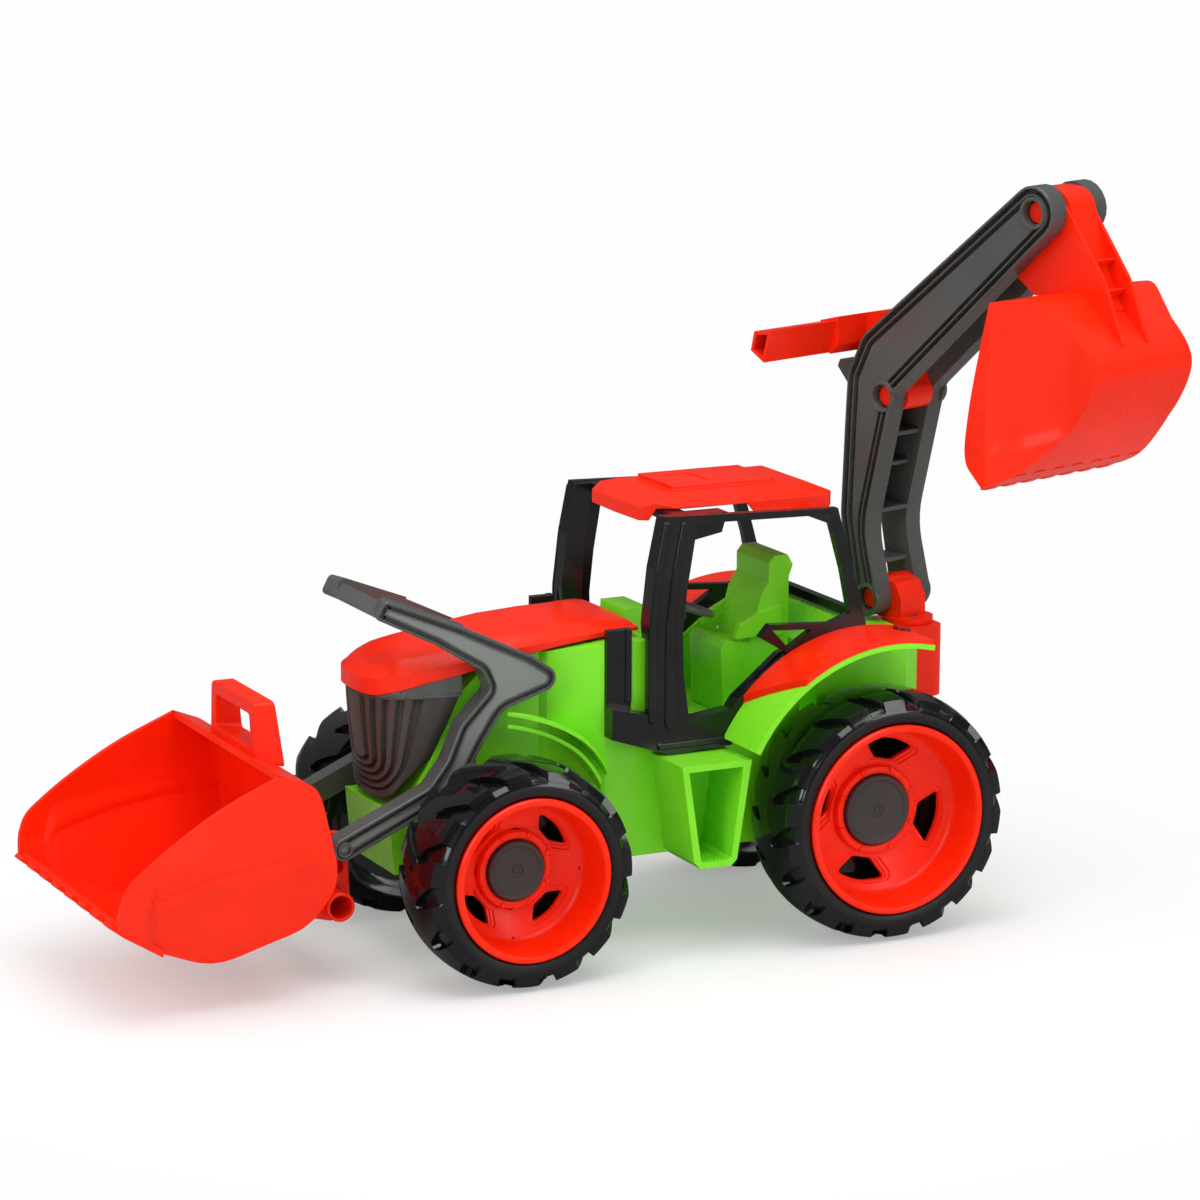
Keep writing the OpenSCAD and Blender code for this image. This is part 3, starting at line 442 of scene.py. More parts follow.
def pocket_depth(u, t):
    """1 on a pocket's floor, 0 on the smooth tread round it."""
    return ramp(u, 0.0, 0.03) * (1 - ramp(u, 0.47, 0.5)) * ramp(t, 0.36, 0.42)


def pocket_point(u, t):
    """How far a pocket's inner edge is pulled to a point, as a share of the half width."""
    return max(0.0, 1 - abs(u - 0.2) / 0.22) * 0.12 * ramp(t, 0.1, 0.36) * (1 - ramp(t, 0.42, 0.7))


def tyre(name, lugs):
    """Blown tyre: a smooth crown with pockets at both shoulders, a flat ring and a web behind the rim."""
    low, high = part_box(name)
    side = 1 if low.y > 0 else -1
    inner, outer = sorted(abs(v) / MM for v in (low.y, high.y))
    centre = ((low.x + high.x) / 2 / MM, (low.z + high.z) / 2 / MM)
    radius = (high.z - low.z) / 2 / MM
    seat = radius - 21
    mid, half = (inner + outer) / 2, (outer - inner) / 2
    # rows of (radius, y, t, staggered half, how deep the pockets are)
    rows = [(13, inner + 6.5, 1, 0, 0), (13, inner + 4.5, 1, 0, 0), (seat - 4, inner + 4.5, 1, 0, 0)]
    rows += [(seat + 1, inner + 3, 1, 0, 0)]
    rows += [(radius - 15, inner + 1, 1, 0, 0), (radius - 11, inner + 1, 1, 0, 0)]
    for t in reversed(TREAD_ROWS):
        rows.append((radius - 3.6 * t ** 2.4, mid - t * (half - 3), t, 0, 1))
    for t in TREAD_ROWS[1:]:
        rows.append((radius - 3.6 * t ** 2.4, mid + t * (half - 3), t, 1, 1))
    rows += [(radius - 6.5, outer - 1.8, 1, 1, 0.75), (radius - 9.2, outer - 1.0, 1, 1, 0.3)]
    rows += [(radius - 11.5, outer - 1.0, 1, 1, 0), (radius - 12.2, outer - 0.6, 1, 0, 0)]
    wall = len(rows)
    rows += [(radius - 13, outer - 0.4, 1, 0, 0), (seat + 3.0, outer - 0.6, 1, 0, 0)]
    rows += [(seat + 2.2, outer - 1.2, 1, 0, 0)]
    rows += [(seat + 1.4, outer - 3.6, 1, 0, 0), (seat, outer - 6, 1, 0, 0)]
    rows += [(seat, inner + 7.5, 1, 0, 0), (seat - 3, inner + 6.5, 1, 0, 0)]
    verts = []
    for base, y, t, outer_half, depth in rows:
        for k in range(lugs):
            for u in POCKET_COLUMNS:
                local = (u + 0.5) % 1 if outer_half else u
                turn = (1 if u >= 0.5 else 0) - 0.5 if outer_half else 0
                r = base - depth * POCKET_DEPTH * pocket_depth(local, t)
                a = 2 * math.pi * (k + pocket_angle(local, t) + turn) / lugs
                pull = pocket_point(local, t) * half * (-1 if outer_half else 1)
                verts.append(mm(centre[0] + r * math.cos(a), side * (y + pull), centre[1] + r * math.sin(a)))
    count = lugs * len(POCKET_COLUMNS)
    obj = new_object(name + "_tread", verts, grid_faces(len(rows), count, wrap_rows=True, wrap_cols=True))
    add(obj, body_of_node[name], "tyre_black", name, extra=["tyre_wall"])
    for face in obj.data.polygons:
        face.material_index = 1 if face.index // count in (wall - 1, wall, wall + 1) else 0
    tidy_mesh(obj, 0)
    bevel = obj.modifiers.new("edges", "BEVEL")
    bevel.width = 0.45 * MM
    bevel.segments = 2
    bevel.limit_method = "ANGLE"
    bevel.angle_limit = math.radians(42)
    bevel.harden_normals = True
    return obj


def rim(name, cap_name, window_turn):
    """Dished rim with four stepped windows, a studded hub ring and a rolled lip."""
    low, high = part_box(name)
    side = 1 if low.y > 0 else -1
    outer = max(abs(low.y), abs(high.y)) / MM
    inner = min(abs(low.y), abs(high.y)) / MM
    centre = ((low.x + high.x) / 2 / MM, (low.z + high.z) / 2 / MM)
    lip = (high.z - low.z) / 2 / MM
    cap_low, cap_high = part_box(cap_name)
    cap = (cap_high.z - cap_low.z) / 2 / MM
    seat = lip - 1
    floor = outer - 26
    hub, wall = cap + 6.5, seat - 8.5

    def dish(r):
        """Height of the dish at a radius."""
        t = (r - hub) / (wall - hub)
        return floor - 8 + 7 * t ** 1.5

    parts = [lathe([
        (wall, dish(wall)), (wall + 2.0, dish(wall) + 1.6), (wall + 2.9, dish(wall) + 5),
        (seat - 4.2, outer - 4), (seat - 3.9, outer - 1.6), (seat - 3.2, outer - 0.4), (seat - 1.6, outer),
        (seat, outer - 0.2),
        (lip, outer - 1.4), (lip, outer - 3), (seat - 0.3, outer - 4.2), (seat - 0.3, inner + 8),
        (seat - 5, inner + 7), (wall - 1, floor - 14), (wall - 1, dish(wall) - 2.5),
    ], 160, centre, side, close=False)]
    parts.append(lathe([
        (hub, dish(hub) + 0.2), (hub - 0.5, floor - 5.4), (hub - 1.3, floor - 4.3), (hub - 3.4, floor - 4),
        (cap + 1.6, floor - 4.2), (cap + 0.8, floor - 5), (cap + 0.6, floor - 9), (4, floor - 9),
    ], 160, centre, side, close=False))
    steps = 96
    corners = [(-0.13, hub + 3.4), (0.13, hub + 3.4), (0.36, 0.86), (0, 0.95), (-0.36, 0.86)]
    reach = wall - 1.6
    window = [(x * reach, y if y > 1 else y * reach) for x, y in corners]
    window = fillet(window, [2, 2, 4, 12, 4], 5)
    core = Vector((0, (hub + 3.4 + reach) / 2))

    def ray(outline, direction):
        """Where a ray from the window's middle leaves an outline."""
        best = 0
        for a, b in zip(outline, outline[1:] + outline[:1]):
            a, b = Vector(a) - core, Vector(b) - core
            e = b - a
            d = direction.x * e.y - direction.y * e.x
            if abs(d) < 1e-9:
                continue
            s = (a.x * e.y - a.y * e.x) / d
            t = (a.x * direction.y - a.y * direction.x) / d
            if s > 0 and -1e-6 <= t <= 1 + 1e-6:
                best = max(best, s)
        return core + direction * best

    sector = arc((0, 0), hub, 45, 135, 24) + arc((0, 0), wall, 135, 45, 40)
    # (share of the way from a window to its sector's edge, height over the dish)
    levels = [
        (0.0, -6.0), (0.0, -2.6), (0.02, -2.3), (0.1, -2.2), (0.13, -1.3), (0.24, -1.2), (0.28, 0.0),
        (0.5, 0), (0.75, 0), (1.0, 0), (1.03, -0.8),
    ]
    for q in range(4):
        turn = math.radians(window_turn + 90 * q - 90)
        verts = []
        for blend, depth in levels:
            for k in range(steps):
                a = 2 * math.pi * k / steps
                d = Vector((math.cos(a), math.sin(a)))
                w, b = ray(window, d), ray(sector, d)
                p = w + (b - w) * blend
                r = p.length
                fade = 1 - ramp(blend, 0.5, 1.0) if blend <= 1 else 1
                x = p.x * math.cos(turn) - p.y * math.sin(turn)
                z = p.x * math.sin(turn) + p.y * math.cos(turn)
                limited = min(max(r, hub), wall)
                verts.append(mm(centre[0] + x, side * (dish(limited) + depth * fade), centre[1] + z))
        parts.append((verts, grid_faces(len(levels), steps, wrap_cols=True)))
    for k in range(8):
        a = 2 * math.pi * (k + 0.5) / 8
        r = hub - 1.9
        x, z = centre[0] + r * math.cos(a), centre[1] + r * math.sin(a)
        dome = [(2.0, -0.6), (1.9, 0.6), (1.4, 1.2), (0.6, 1.4), (0.01, 1.4)]
        stud, stud_faces = lathe(dome, 16, (0, 0), close=False)
        foot = mm(x, side * (floor - 4), z)
        parts.append(([foot + Vector((v.x, side * v.y, v.z)) for v in stud], stud_faces))
    obj = new_object(name + "_dish", *merge(*parts))
    tidy_mesh(obj, 5e-5, degenerate=False)
    sharpen(obj, 38)
    return add(obj, body_of_node[name], "red", name)


def hubcap(name):
    """Grey cap with a raised rim and a dimpled middle."""
    low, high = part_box(name)
    side = 1 if low.y > 0 else -1
    face = max(abs(low.y), abs(high.y)) / MM
    centre = ((low.x + high.x) / 2 / MM, (low.z + high.z) / 2 / MM)
    r = (high.z - low.z) / 2 / MM
    profile = [
        (r - 0.2, face - 6.5), (r, face - 1.4), (r - 0.5, face - 0.4), (r - 1.3, face), (r - 2.6, face - 0.1),
        (r - 3.3, face - 0.8), (r - 3.8, face - 1.5), (r - 5, face - 1.6), (6.5, face - 1.1),
        (4.6, face - 1.1), (4.2, face - 1.7), (2.6, face - 1.8), (2.2, face - 1.2), (1.0, face - 1.0),
        (0.01, face - 1.0),
    ]
    obj = new_object(name + "_cover", *lathe(profile, 96, centre, side, close=False))
    tidy_mesh(obj)
    sharpen(obj, 50)
    return add(obj, body_of_node[name], "cap_grey", name)


for end, lug_count, turn in (("front", 15, 139), ("rear", 18, 103)):
    for hand in ("left", "right"):
        tyre(f"tyre_{end}_{hand}", lug_count)
        rim(f"rim_{end}_{hand}", f"hubcap_{end}_{hand}", turn if hand == "left" else turn + 37)
        hubcap(f"hubcap_{end}_{hand}")


# ---------------------------------------------------------------- loader arms

LEAN_X, LEAN = 275, 13          # where the arms start to lean inwards, and by how much


def lean_inwards(obj, outer, side):
    """Bends the part of a loader arm ahead of LEAN_X towards the grip."""
    bm = bmesh.new()
    bm.from_mesh(obj.data)
    everything = bm.verts[:] + bm.edges[:] + bm.faces[:]
    bmesh.ops.bisect_plane(bm, geom=everything, plane_co=mm(LEAN_X, 0, 0), plane_no=(1, 0, 0))
    hinge = mm(LEAN_X, side * outer, 0)
    turn = Matrix.Rotation(math.radians(-LEAN * side), 4, "Z")
    for v in bm.verts:
        if v.co.x > LEAN_X * MM + 1e-7 and v.co.z > 190 * MM:
            v.co = hinge + turn @ (v.co - hinge)
    bm.to_mesh(obj.data)
    bm.free()


ARM_RINGS = [(0, 0.6), (0.6, 0), (1.8, 0), (2.0, 3.4), (4.3, 3.4), (4.5, 0.7), (5.3, 0.7), (5.5, 1.5)]


def loader_arm(name):
    """Lever arm with a raised rim, a deep channel and a flat panel."""
    low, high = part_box(name)
    side = 1 if low.y > 0 else -1
    outer = max(abs(low.y), abs(high.y)) / MM
    tube = (pivot("scoop_tilt")[0], pivot("scoop_tilt")[2])
    corners = [
        (336, 232, 3), (329, 243.5, 4), (279, 224, 40), (232, 201.5, 20), (212, 188, 8), (218, 178.5, 9),
        (252, 168, 16), (266, 147, 14), (280, 122, 16), (300, 108.5, 20), *end_cap(tube, 7.5, -24),
        (303, 122.5, 14),
        (291, 138, 14), (281, 161, 16), (260.5, 182, 5), (266, 194.5, 10), (297, 213.3, 30),
    ]
    verts, faces = plate(corners, outer - 14.5, outer, ARM_RINGS, lambda x, z, y: mm(x, side * y, z))
    obj = new_object(name + "_ribbed", verts, faces)
    add(obj, body_of_node[name], "dark_grey", name, extra=["arm_panel"])
    obj.data.polygons[len(faces) - 1].material_index = 1
    lean_inwards(obj, outer, side)
    tidy_mesh(obj)
    return soften(obj, 0.5, 40, 2)


for hand in ("left", "right"):
    loader_arm(f"loader_arm_{hand}")


# ---------------------------------------------------------------- digging arm

slew = Vector(joints["backhoe_slew"]["pos_m"])
across = Vector(joints["boom_tilt"]["axis"])            # unit vector across the boom
reach = Vector((-across.y, across.x, 0))
if reach.y < 0:
    reach = -reach


def on_boom(h, z, w):
    """A point at reach h, height z and offset w across the boom."""
    return Vector((slew.x, slew.y, 0)) + reach * h * MM + across * w * MM + Vector((0, 0, z * MM))


def boom_point(joint):
    """A joint's (reach, height) in the boom's plane."""
    p = Vector(joints[joint]["pos_m"]) - slew
    return p.dot(reach) / MM, joints[joint]["pos_m"][2] / MM


FOOT, ELBOW, TIP = (boom_point(j) for j in ("boom_tilt", "lever_swing", "digger_curl"))
BOOM_HALF = 27.25
CHEEK = 14.75


def cheek_corners():
    """Corners of a cheek: its foot, rear edge, tip and front edge."""
    return [
        *end_cap(FOOT, 12.5, -84), (-16, 249, 60), (6.5, 343, 16), *end_cap(TIP, 17, 41), (-21, 379, 18),
        (-34, 352, 16), (-36, 314, 60), (-38.5, 255, 50),
    ]


# rail, deep groove, rib, deep groove, panel
BOOM_RINGS = [
    (0, 0.8), (0.8, 0), (1.8, 0), (2.0, 6.5), (5.2, 6.5), (5.4, 0.6), (6.4, 0.6), (6.6, 6.5), (9.4, 6.5),
    (9.6, 1.4),
]


def boom():
    """Two ribbed cheeks with pin bosses, tied by webs."""
    for s, label in ((-1, "near"), (1, "far")):
        verts, faces = plate(cheek_corners(), s * (BOOM_HALF - CHEEK), s * BOOM_HALF, BOOM_RINGS, on_boom)
        obj = new_object(f"boom_cheek_{label}", verts, faces)
        tidy_mesh(obj)
        bores = [on_boom(*p, s * BOOM_HALF) for p in (FOOT, ELBOW, TIP)]
        cut_round(obj, bores, 8.0, across)
        shade_smooth(obj)
        soften(obj, 0.45, 40, 2)
        add(obj, "boom", "dark_grey", "boom")
        rims = []
        for p in (FOOT, ELBOW, TIP):
            section = [(8.0, 0.5), (8.3, 0), (10.3, 0), (10.6, 0.5), (10.6, 4), (8.0, 4)]
            ring = []
            for k in range(48):
                a = 2 * math.pi * k / 48
                for r, depth in section:
                    h, z = p[0] + r * math.cos(a), p[1] + r * math.sin(a)
                    ring.append(on_boom(h, z, s * (BOOM_HALF - depth)))
            rims.append((ring, grid_faces(48, len(section), wrap_rows=True, wrap_cols=True)))
        bosses = new_object(f"boom_bosses_{label}", *merge(*rims))
        tidy_mesh(bosses)
        sharpen(bosses, 35)
        add(bosses, "boom", "dark_grey")
    webs = []
    for z in (223, 258, 289):
        webs.append([(-34, z), (-13, z), (-13, z + 3), (-34, z + 3)])
    webs.append([(-34, 311), (-4, 311), (-4, 314), (-34, 314)])
    webs.append([(-38.3, 255), (-35.8, 314), (-34.8, 326), (-31.5, 324), (-32.5, 314), (-35.1, 256)])
    webs.append([(45, 432.8), (88, 467.4), (90, 465), (47, 430.4)])
    webs.append([(-33, 324), (-47, 343), (-56, 353), (-54, 358), (-44, 358), (-36, 350), (-33, 349)])
    half = BOOM_HALF - CHEEK + 0.5
    parts = [plate(w, -half, half, [(0, 0)], on_boom) for w in webs]
    obj = new_object("boom_webs", *merge(*parts), smooth=False)
    tidy_mesh(obj)
    soften(obj, 0.5, 40, 2)
    add(obj, "boom", "dark_grey")


boom()


# ---------------------------------------------------------------- buckets


def bucket_shell(name, mouth, skin, half_width, to_space, across_steps=24, side_steps=40):
    """Bucket skin: cheeks between the mouth's edge and the skin line, and the skin from cheek to cheek."""
    cols = len(mouth)
    verts = []
    levels = []
    for k in range(side_steps):
        levels.append(("cheek", -1, k / side_steps))
    for k in range(across_steps + 1):
        levels.append(("skin", -1 + 2 * k / across_steps, 0))
    for k in range(side_steps):
        levels.append(("cheek", 1, 1 - (k + 1) / side_steps))
    for kind, where, blend in levels:
        for m, b in zip(mouth, skin):
            if kind == "cheek":
                x = m[0] + (b[0] - m[0]) * blend
                z = m[1] + (b[1] - m[1]) * blend
                y = where * half_width(x, z)
            else:
                x, z = b
                y = where * half_width(x, z)
            verts.append(to_space(x, z, y))
    obj = new_object(name, verts, grid_faces(len(levels), cols))
    tidy_mesh(obj, 2e-5)
    return obj


def thicken(obj, thickness):
    """Gives a bucket's skin its wall."""
    wall = obj.modifiers.new("wall", "SOLIDIFY")
    wall.thickness = thickness * MM
    wall.offset = -1
    wall.use_even_offset = True
    wall.use_quality_normals = True


def resample(points, count):
    """Points spread evenly along an open line."""
    points = [Vector(p) for p in points]
    lengths = [0.0]
    for a, b in zip(points, points[1:]):
        lengths.append(lengths[-1] + (b - a).length)
    out = []
    for k in range(count):
        d = lengths[-1] * k / (count - 1)
        i = next((j for j in range(len(points) - 1) if lengths[j + 1] >= d - 1e-9), 0)
        t = (d - lengths[i]) / max(1e-9, lengths[i + 1] - lengths[i])
        out.append(tuple(points[i] + (points[i + 1] - points[i]) * t))
    return out


def rounded_line(points, radius, steps=5):
    """An open line with rounded corners."""
    full = fillet(points, radius, steps)
    return [points[0]] + full[steps + 1:-(steps + 1)] + [points[-1]]


def crease_line(x):
    """Height of the crease along a loader bucket cheek."""
    return float(np.interp(x, [380, 421, 462, 500, 506], [98, 98.5, 93, 82, 60]))


SCOOP_HALF = 100


def scoop_width(x, z):
    """Half width of the loader bucket: a ledge at the crease, then a tuck towards the floor."""
    below = crease_line(x) - z
    ledge = 2.4 * ramp(below, -2.6, 2.6) * (1 - ramp(x, 501, 505))
    tuck = 20 * min(1.0, max(0.0, below + 0.14 * (x - 380)) / 75) ** 1.1
    lean = 2.0 * ramp(z, 100, 150)
    return SCOOP_HALF - 2.4 + ledge - tuck - lean


def handle():
    """Deep folded handle on the bucket's back rim, with an opening for the hand."""
    outer = rounded([(-39, 146.5, 2), (39, 146.5, 2), (36.5, 184, 4), (-36.5, 184, 4)])
    inner = rounded([(-31, 155, 2), (31, 155, 2), (28.5, 175.5, 3), (-28.5, 175.5, 3)])
    loops = []
    for line, face in ((outer, "front"), (inner, "front"), (inner, "back"), (outer, "back")):
        if face == "front":
            loops.append([mm(413, y, z) for y, z in line])
        else:
            loops.append([mm(392 + 0.15 * (z - 140), y, z - 5 * (1 - ramp(z, 145, 165))) for y, z in line])
    verts = [v for loop in loops for v in loop]
    obj = new_object("loader_bucket_handle", verts, grid_faces(4, len(outer), wrap_rows=True, wrap_cols=True))
    tidy_mesh(obj)
    soften(obj, 1.2, 40, 3)
    add(obj, "scoop", "red")


def loader_bucket():
    """Front bucket with its teeth, handle, hinge plates and tubes."""
    mouth = resample(rounded_line([
        (417.5, 151.5), (458, 135), (495, 112.3), (519.5, 93), (524, 79), (525, 67),
    ], [0, 20, 20, 8, 5, 0]), 100)
    skin = resample(rounded_line([
        (417.5, 151.5), (396, 143), (391.5, 134), (383, 94), (382, 76), (398, 51), (458, 31.5), (503, 50),
        (525, 67),
    ], [0, 5, 5, 24, 12, 12, 16, 12, 0]), 100)
    shell = bucket_shell("loader_bucket_shell", mouth, skin, scoop_width, lambda x, z, y: mm(x, y, z))
    thicken(shell, 4)
    soften(shell, 1.3, 38, 3)
    add(shell, "scoop", "red", "loader_bucket")
    parts = []
    for i in range(8):
        y = -84 + i * 24
        tooth = [(494, 44.5), (519, 60), (529.5, 68), (527, 70), (514, 64), (494, 50)]
        parts.append(plate(tooth, y - 6, y + 6, [(0, 0)], lambda x, z, w: mm(x, w, z)))
    teeth = new_object("loader_bucket_teeth", *merge(*parts), smooth=False)
    tidy_mesh(teeth)
    soften(teeth, 0.8, 40, 2)
    add(teeth, "scoop", "red")
    handle()
    lugs = []
    tube = (pivot("scoop_tilt")[0], pivot("scoop_tilt")[2])
    outline = [(388, 100)] + arc(tube, 7.8, 75, 190, 8) + [(352, 60)]
    outline += arc((364, 52), 12.5, 185, 280, 10) + [(402, 49), (389, 64)]
    # the small tube clears the arms when the bucket tips, so it ends at the hinge plates
    small, large = (tube[0] - 1, tube[1] - 14.5), (tube[0] + 3, tube[1] - 37)
    for s in (-1, 1):
        lugs.append(plate(outline, s * 37, s * 42.3, [(0, 0.5), (0.5, 0)], lambda x, z, y: mm(x, y, z)))
    plates = new_object("loader_bucket_lugs", *merge(*lugs))
    tidy_mesh(plates)
    cut_round(plates, [mm(x, 0, z) for x, z in (tube, small, large)], 4.2, (0, 1, 0))
    cut_round(plates, [mm(tube[0], 0, tube[1])], 5.1, (0, 1, 0))
    cut_round(plates, [mm(large[0], 0, large[1])], 8.6, (0, 1, 0))
    shade_smooth(plates)
    soften(plates, 0.4, 40, 2)
    add(plates, "scoop", "red")
    tubes = []
    for centre, r_in, r_out, end in ((small, 4.2, 6.0, 42.8), (large, 7.4, 9.4, 58)):
        half_section = [(r_in, end - 0.4), (r_in + 0.4, end), (r_out - 0.4, end), (r_out, end - 0.4)]
        section = [(r, -y) for r, y in half_section] + half_section[::-1]
        tubes.append(lathe(section, 48, centre))
    pipes = new_object("loader_bucket_tubes", *merge(*tubes))
    tidy_mesh(pipes)
    sharpen(pipes, 35)
    add(pipes, "scoop", "red")


loader_bucket()


def digger_width(h, z):
    """Half width of the digging bucket, with a shallow leaf pressed into its cheek."""
    taper = float(np.interp(h, [70, 126, 150, 178, 210], [70, 70, 62, 50, 48]))
    slope = 0.35 * (h - 124)
    leaf = ramp(h, 122, 134) * (1 - ramp(h, 170, 182))
    leaf *= ramp(z, 318 + slope, 330 + slope) * (1 - ramp(z, 392, 408))
    return taper - 1.6 * leaf


def digging_bucket():
    """Bucket and stick, with teeth along the lip and two fins down the back."""
    mouth = resample(rounded_line([
        (126, 421), (112, 360), (107.5, 326), (109, 314), (123, 300.5),
    ], [0, 30, 8, 5, 0]), 56)
    skin = resample(rounded_line([
        (126, 421), (154, 426), (190, 394), (197.5, 380), (193, 364), (181, 344), (158, 321), (141, 308),
        (123, 300.5),
    ], [0, 8, 14, 12, 12, 12, 14, 12, 0]), 56)
    shell = bucket_shell("digging_bucket_shell", mouth, skin, digger_width, on_boom)
    thicken(shell, 3.5)
    soften(shell, 2.4, 38, 4)
    add(shell, "digger", "red", "digging_bucket")
    parts = []
    for i in range(7):
        w = -57 + i * 19
        tooth = [(119, 298), (114, 297.5), (119, 303), (140, 313), (146, 311)]
        parts.append(plate(tooth, w - 5, w + 5, [(0, 0)], on_boom))
    teeth = new_object("digging_bucket_teeth", *merge(*parts), smooth=False)
    tidy_mesh(teeth)
    soften(teeth, 0.7, 40, 2)
    add(teeth, "digger", "red")
    half = 12.2
    plates = []
    body = [
        *end_cap(TIP, 15.5, 88), (93, 433, 8), (115, 419, 4), (153, 423, 4), (176, 404, 2), (160, 430, 10),
    ]
    plates.append(plate(body, -half, half, [(0, 0)], on_boom))
    fin = [
        (112, 486, 8), (94, 436, 8), (115, 419, 4), (153, 423, 4), (191, 392, 1), (173, 434, 20),
        (139, 480, 8),
    ]
    for w in (-half, half):
        plates.append(plate(fin, w - 1.4, w + 1.4, [(0, 0.5), (0.5, 0)], on_boom))
    for h, z in ((158, 444), (168, 426)):
        rib = [(h - 8, z - 7), (h - 7, z - 8), (h + 3.5, z + 1), (h + 2.5, z + 2)]
        plates.append(plate(rib, -half, half, [(0, 0)], on_boom))
    stick = new_object("digging_bucket_stick", *merge(*plates))
    tidy_mesh(stick)
    soften(stick, 0.7, 40, 3)
    add(stick, "digger", "red")


digging_bucket()


# ---------------------------------------------------------------- bonnet and grille


def height_along(x, places, heights):
    """Height at x on a line through the given places."""
    return float(np.interp(x, places, heights))


HOOD_BACK, HOOD_RIDGE, HOOD_NOSE = 152, 316, 333     # x of the back edge, the ridge's front end and the nose


def hood():
    """Crowned bonnet: columns run from the centre line out to the edge, then down the side wall."""
    plan = rounded_line([
        (152, 48), (180, 46), (213, 42), (298, 41.8), (314, 38), (326, 30), (332, 18), (333, 0),
    ], [0, 20, 20, 12, 8, 8, 10, 0], 6)
    edge = resample(plan, 90)
    verts = []
    across_samples = [0, 0.12, 0.25, 0.38, 0.5, 0.6, 0.68, 0.74, 0.82, 0.9, 0.96, 1.0]
    half_columns = []
    total = len(edge)
    for ex, ey in edge:
        share = min(1.0, (ex - HOOD_BACK) / (HOOD_NOSE - HOOD_BACK))
        cx = HOOD_BACK + (HOOD_RIDGE - HOOD_BACK) * share
        top_c = height_along(
            cx, [152, 165, 199, 226, 252, 298, 316], [213, 214.5, 215.5, 214.3, 210.8, 203.5, 197.5])
        crease = height_along(ex, [152, 165, 237, 300, 326, 333], [210.5, 210.5, 203.0, 193.0, 189.5, 188.5])
        bottom = height_along(
            ex, [152, 174, 213, 227, 278, 297, 328, 333],
            [208.6, 206.5, 201, 198.7, 189, 186.5, 178.5, 178.5])
        crease = max(crease, bottom + 1.4)
        column = []
        for t in across_samples:
            drop = 0.35 * t ** 2 + 0.65 * ramp(t, 0.62, 1.0) * t
            column.append((cx + (ex - cx) * t, ey * t, top_c + (crease - top_c) * drop))
        column.append((ex, ey, crease - 1.2))
        for k in (0.35, 0.7, 1.0):
            column.append((ex, ey, crease - 1.2 + (bottom - crease + 1.2) * k))
        half_columns.append(column)
    rows = len(half_columns[0])
    for side in (1, -1):
        for column in half_columns:
            for x, y, z in column:
                verts.append(mm(x, side * y, z))
    faces = grid_faces(total, rows) + grid_faces(total, rows, start=total * rows)
    obj = new_object("hood_shell", verts, faces)
    tidy_mesh(obj, 3e-5, degenerate=False)
    wall = obj.modifiers.new("wall", "SOLIDIFY")
    wall.thickness = 2.6 * MM
    wall.offset = -1
    soften(obj, 0.9, 38, 3)
    return add(obj, "tractor", "red", "hood")


hood()


LOUVRES = 5
LOUVRE_DEPTH = 4.2


def grille_point(u, v):
    """Point of the nose at u across it (-1 to 1) and v down it (0 to 1), and the way into the nose there."""
    z = 178 - v * 71
    half = 41.4 - 8 * v
    front = 331 - 9 * v ** 1.5
    side_x = float(np.interp(z, [107, 123, 136, 156, 178], [310, 302.5, 293.5, 283.5, 274]))
    # a superellipse from the side edge round the front
    turn = abs(u) * math.pi / 2
    x = side_x + (front - side_x) * max(0.0, math.cos(turn)) ** 0.55
    y = math.copysign(half * math.sin(turn) ** 0.9, u)
    inward = Vector((side_x - 4 - x, -0.75 * y, 0)).normalized()
    return Vector((x, y, z)), inward


def grille():
    """Curved nose with nested U-shaped louvres that close one inside the other towards its foot."""
    straight = 0.58                                     # how far down the louvres run before they turn
    levels = [0, 0.06, 0.11]
    for k in range(LOUVRES):
        levels += [0.12 + 0.82 * (k + c) / LOUVRES for c in (0, 0.08, 0.3, 0.52, 0.6, 0.8, 0.96)]
    levels += [0.945, 0.97, 1.0]
    runs = [0, 0.03, 0.055] + [0.055 + (straight - 0.055) * k / 8 for k in range(1, 9)]
    bends = 18
    verts = []
    for level in levels:
        local = (level - 0.12) / 0.82 * LOUVRES % 1 if 0.12 <= level < 0.94 else 0
        groove = ramp(local, 0.0, 0.08) * (1 - ramp(local, 0.3, 0.6))
        column = [(level, v) for v in runs]
        for k in range(1, bends + 1):
            a = math.pi / 2 * k / bends
            across = level * max(0.0, math.cos(a)) ** 0.8
            column.append((across, straight + (0.98 - straight) * level * math.sin(a) ** 0.8))
        column += [(-u, v) for u, v in reversed(column[:-1])]
        for u, v in column:
            place, inward = grille_point(u, v)
            place += inward * (LOUVRE_DEPTH * groove * ramp(v, 0.03, 0.055))
            verts.append(mm(*place))
    obj = new_object("grille_face", verts, grid_faces(len(levels), 2 * (len(runs) + bends) - 1))
    tidy_mesh(obj, 2e-5)
    point_forwards(obj)
    wall = obj.modifiers.new("wall", "SOLIDIFY")
    wall.thickness = 1.6 * MM
    wall.offset = -1
    obj.data.set_sharp_from_angle(angle=math.radians(40))
    return add(obj, "tractor", "grille_grey", "grille")


def point_forwards(obj):
    """Flips an open skin whose faces mostly look backwards."""
    if sum(f.normal.x * f.area for f in obj.data.polygons) < 0:
        obj.data.flip_normals()


grille()


# ---------------------------------------------------------------- cab


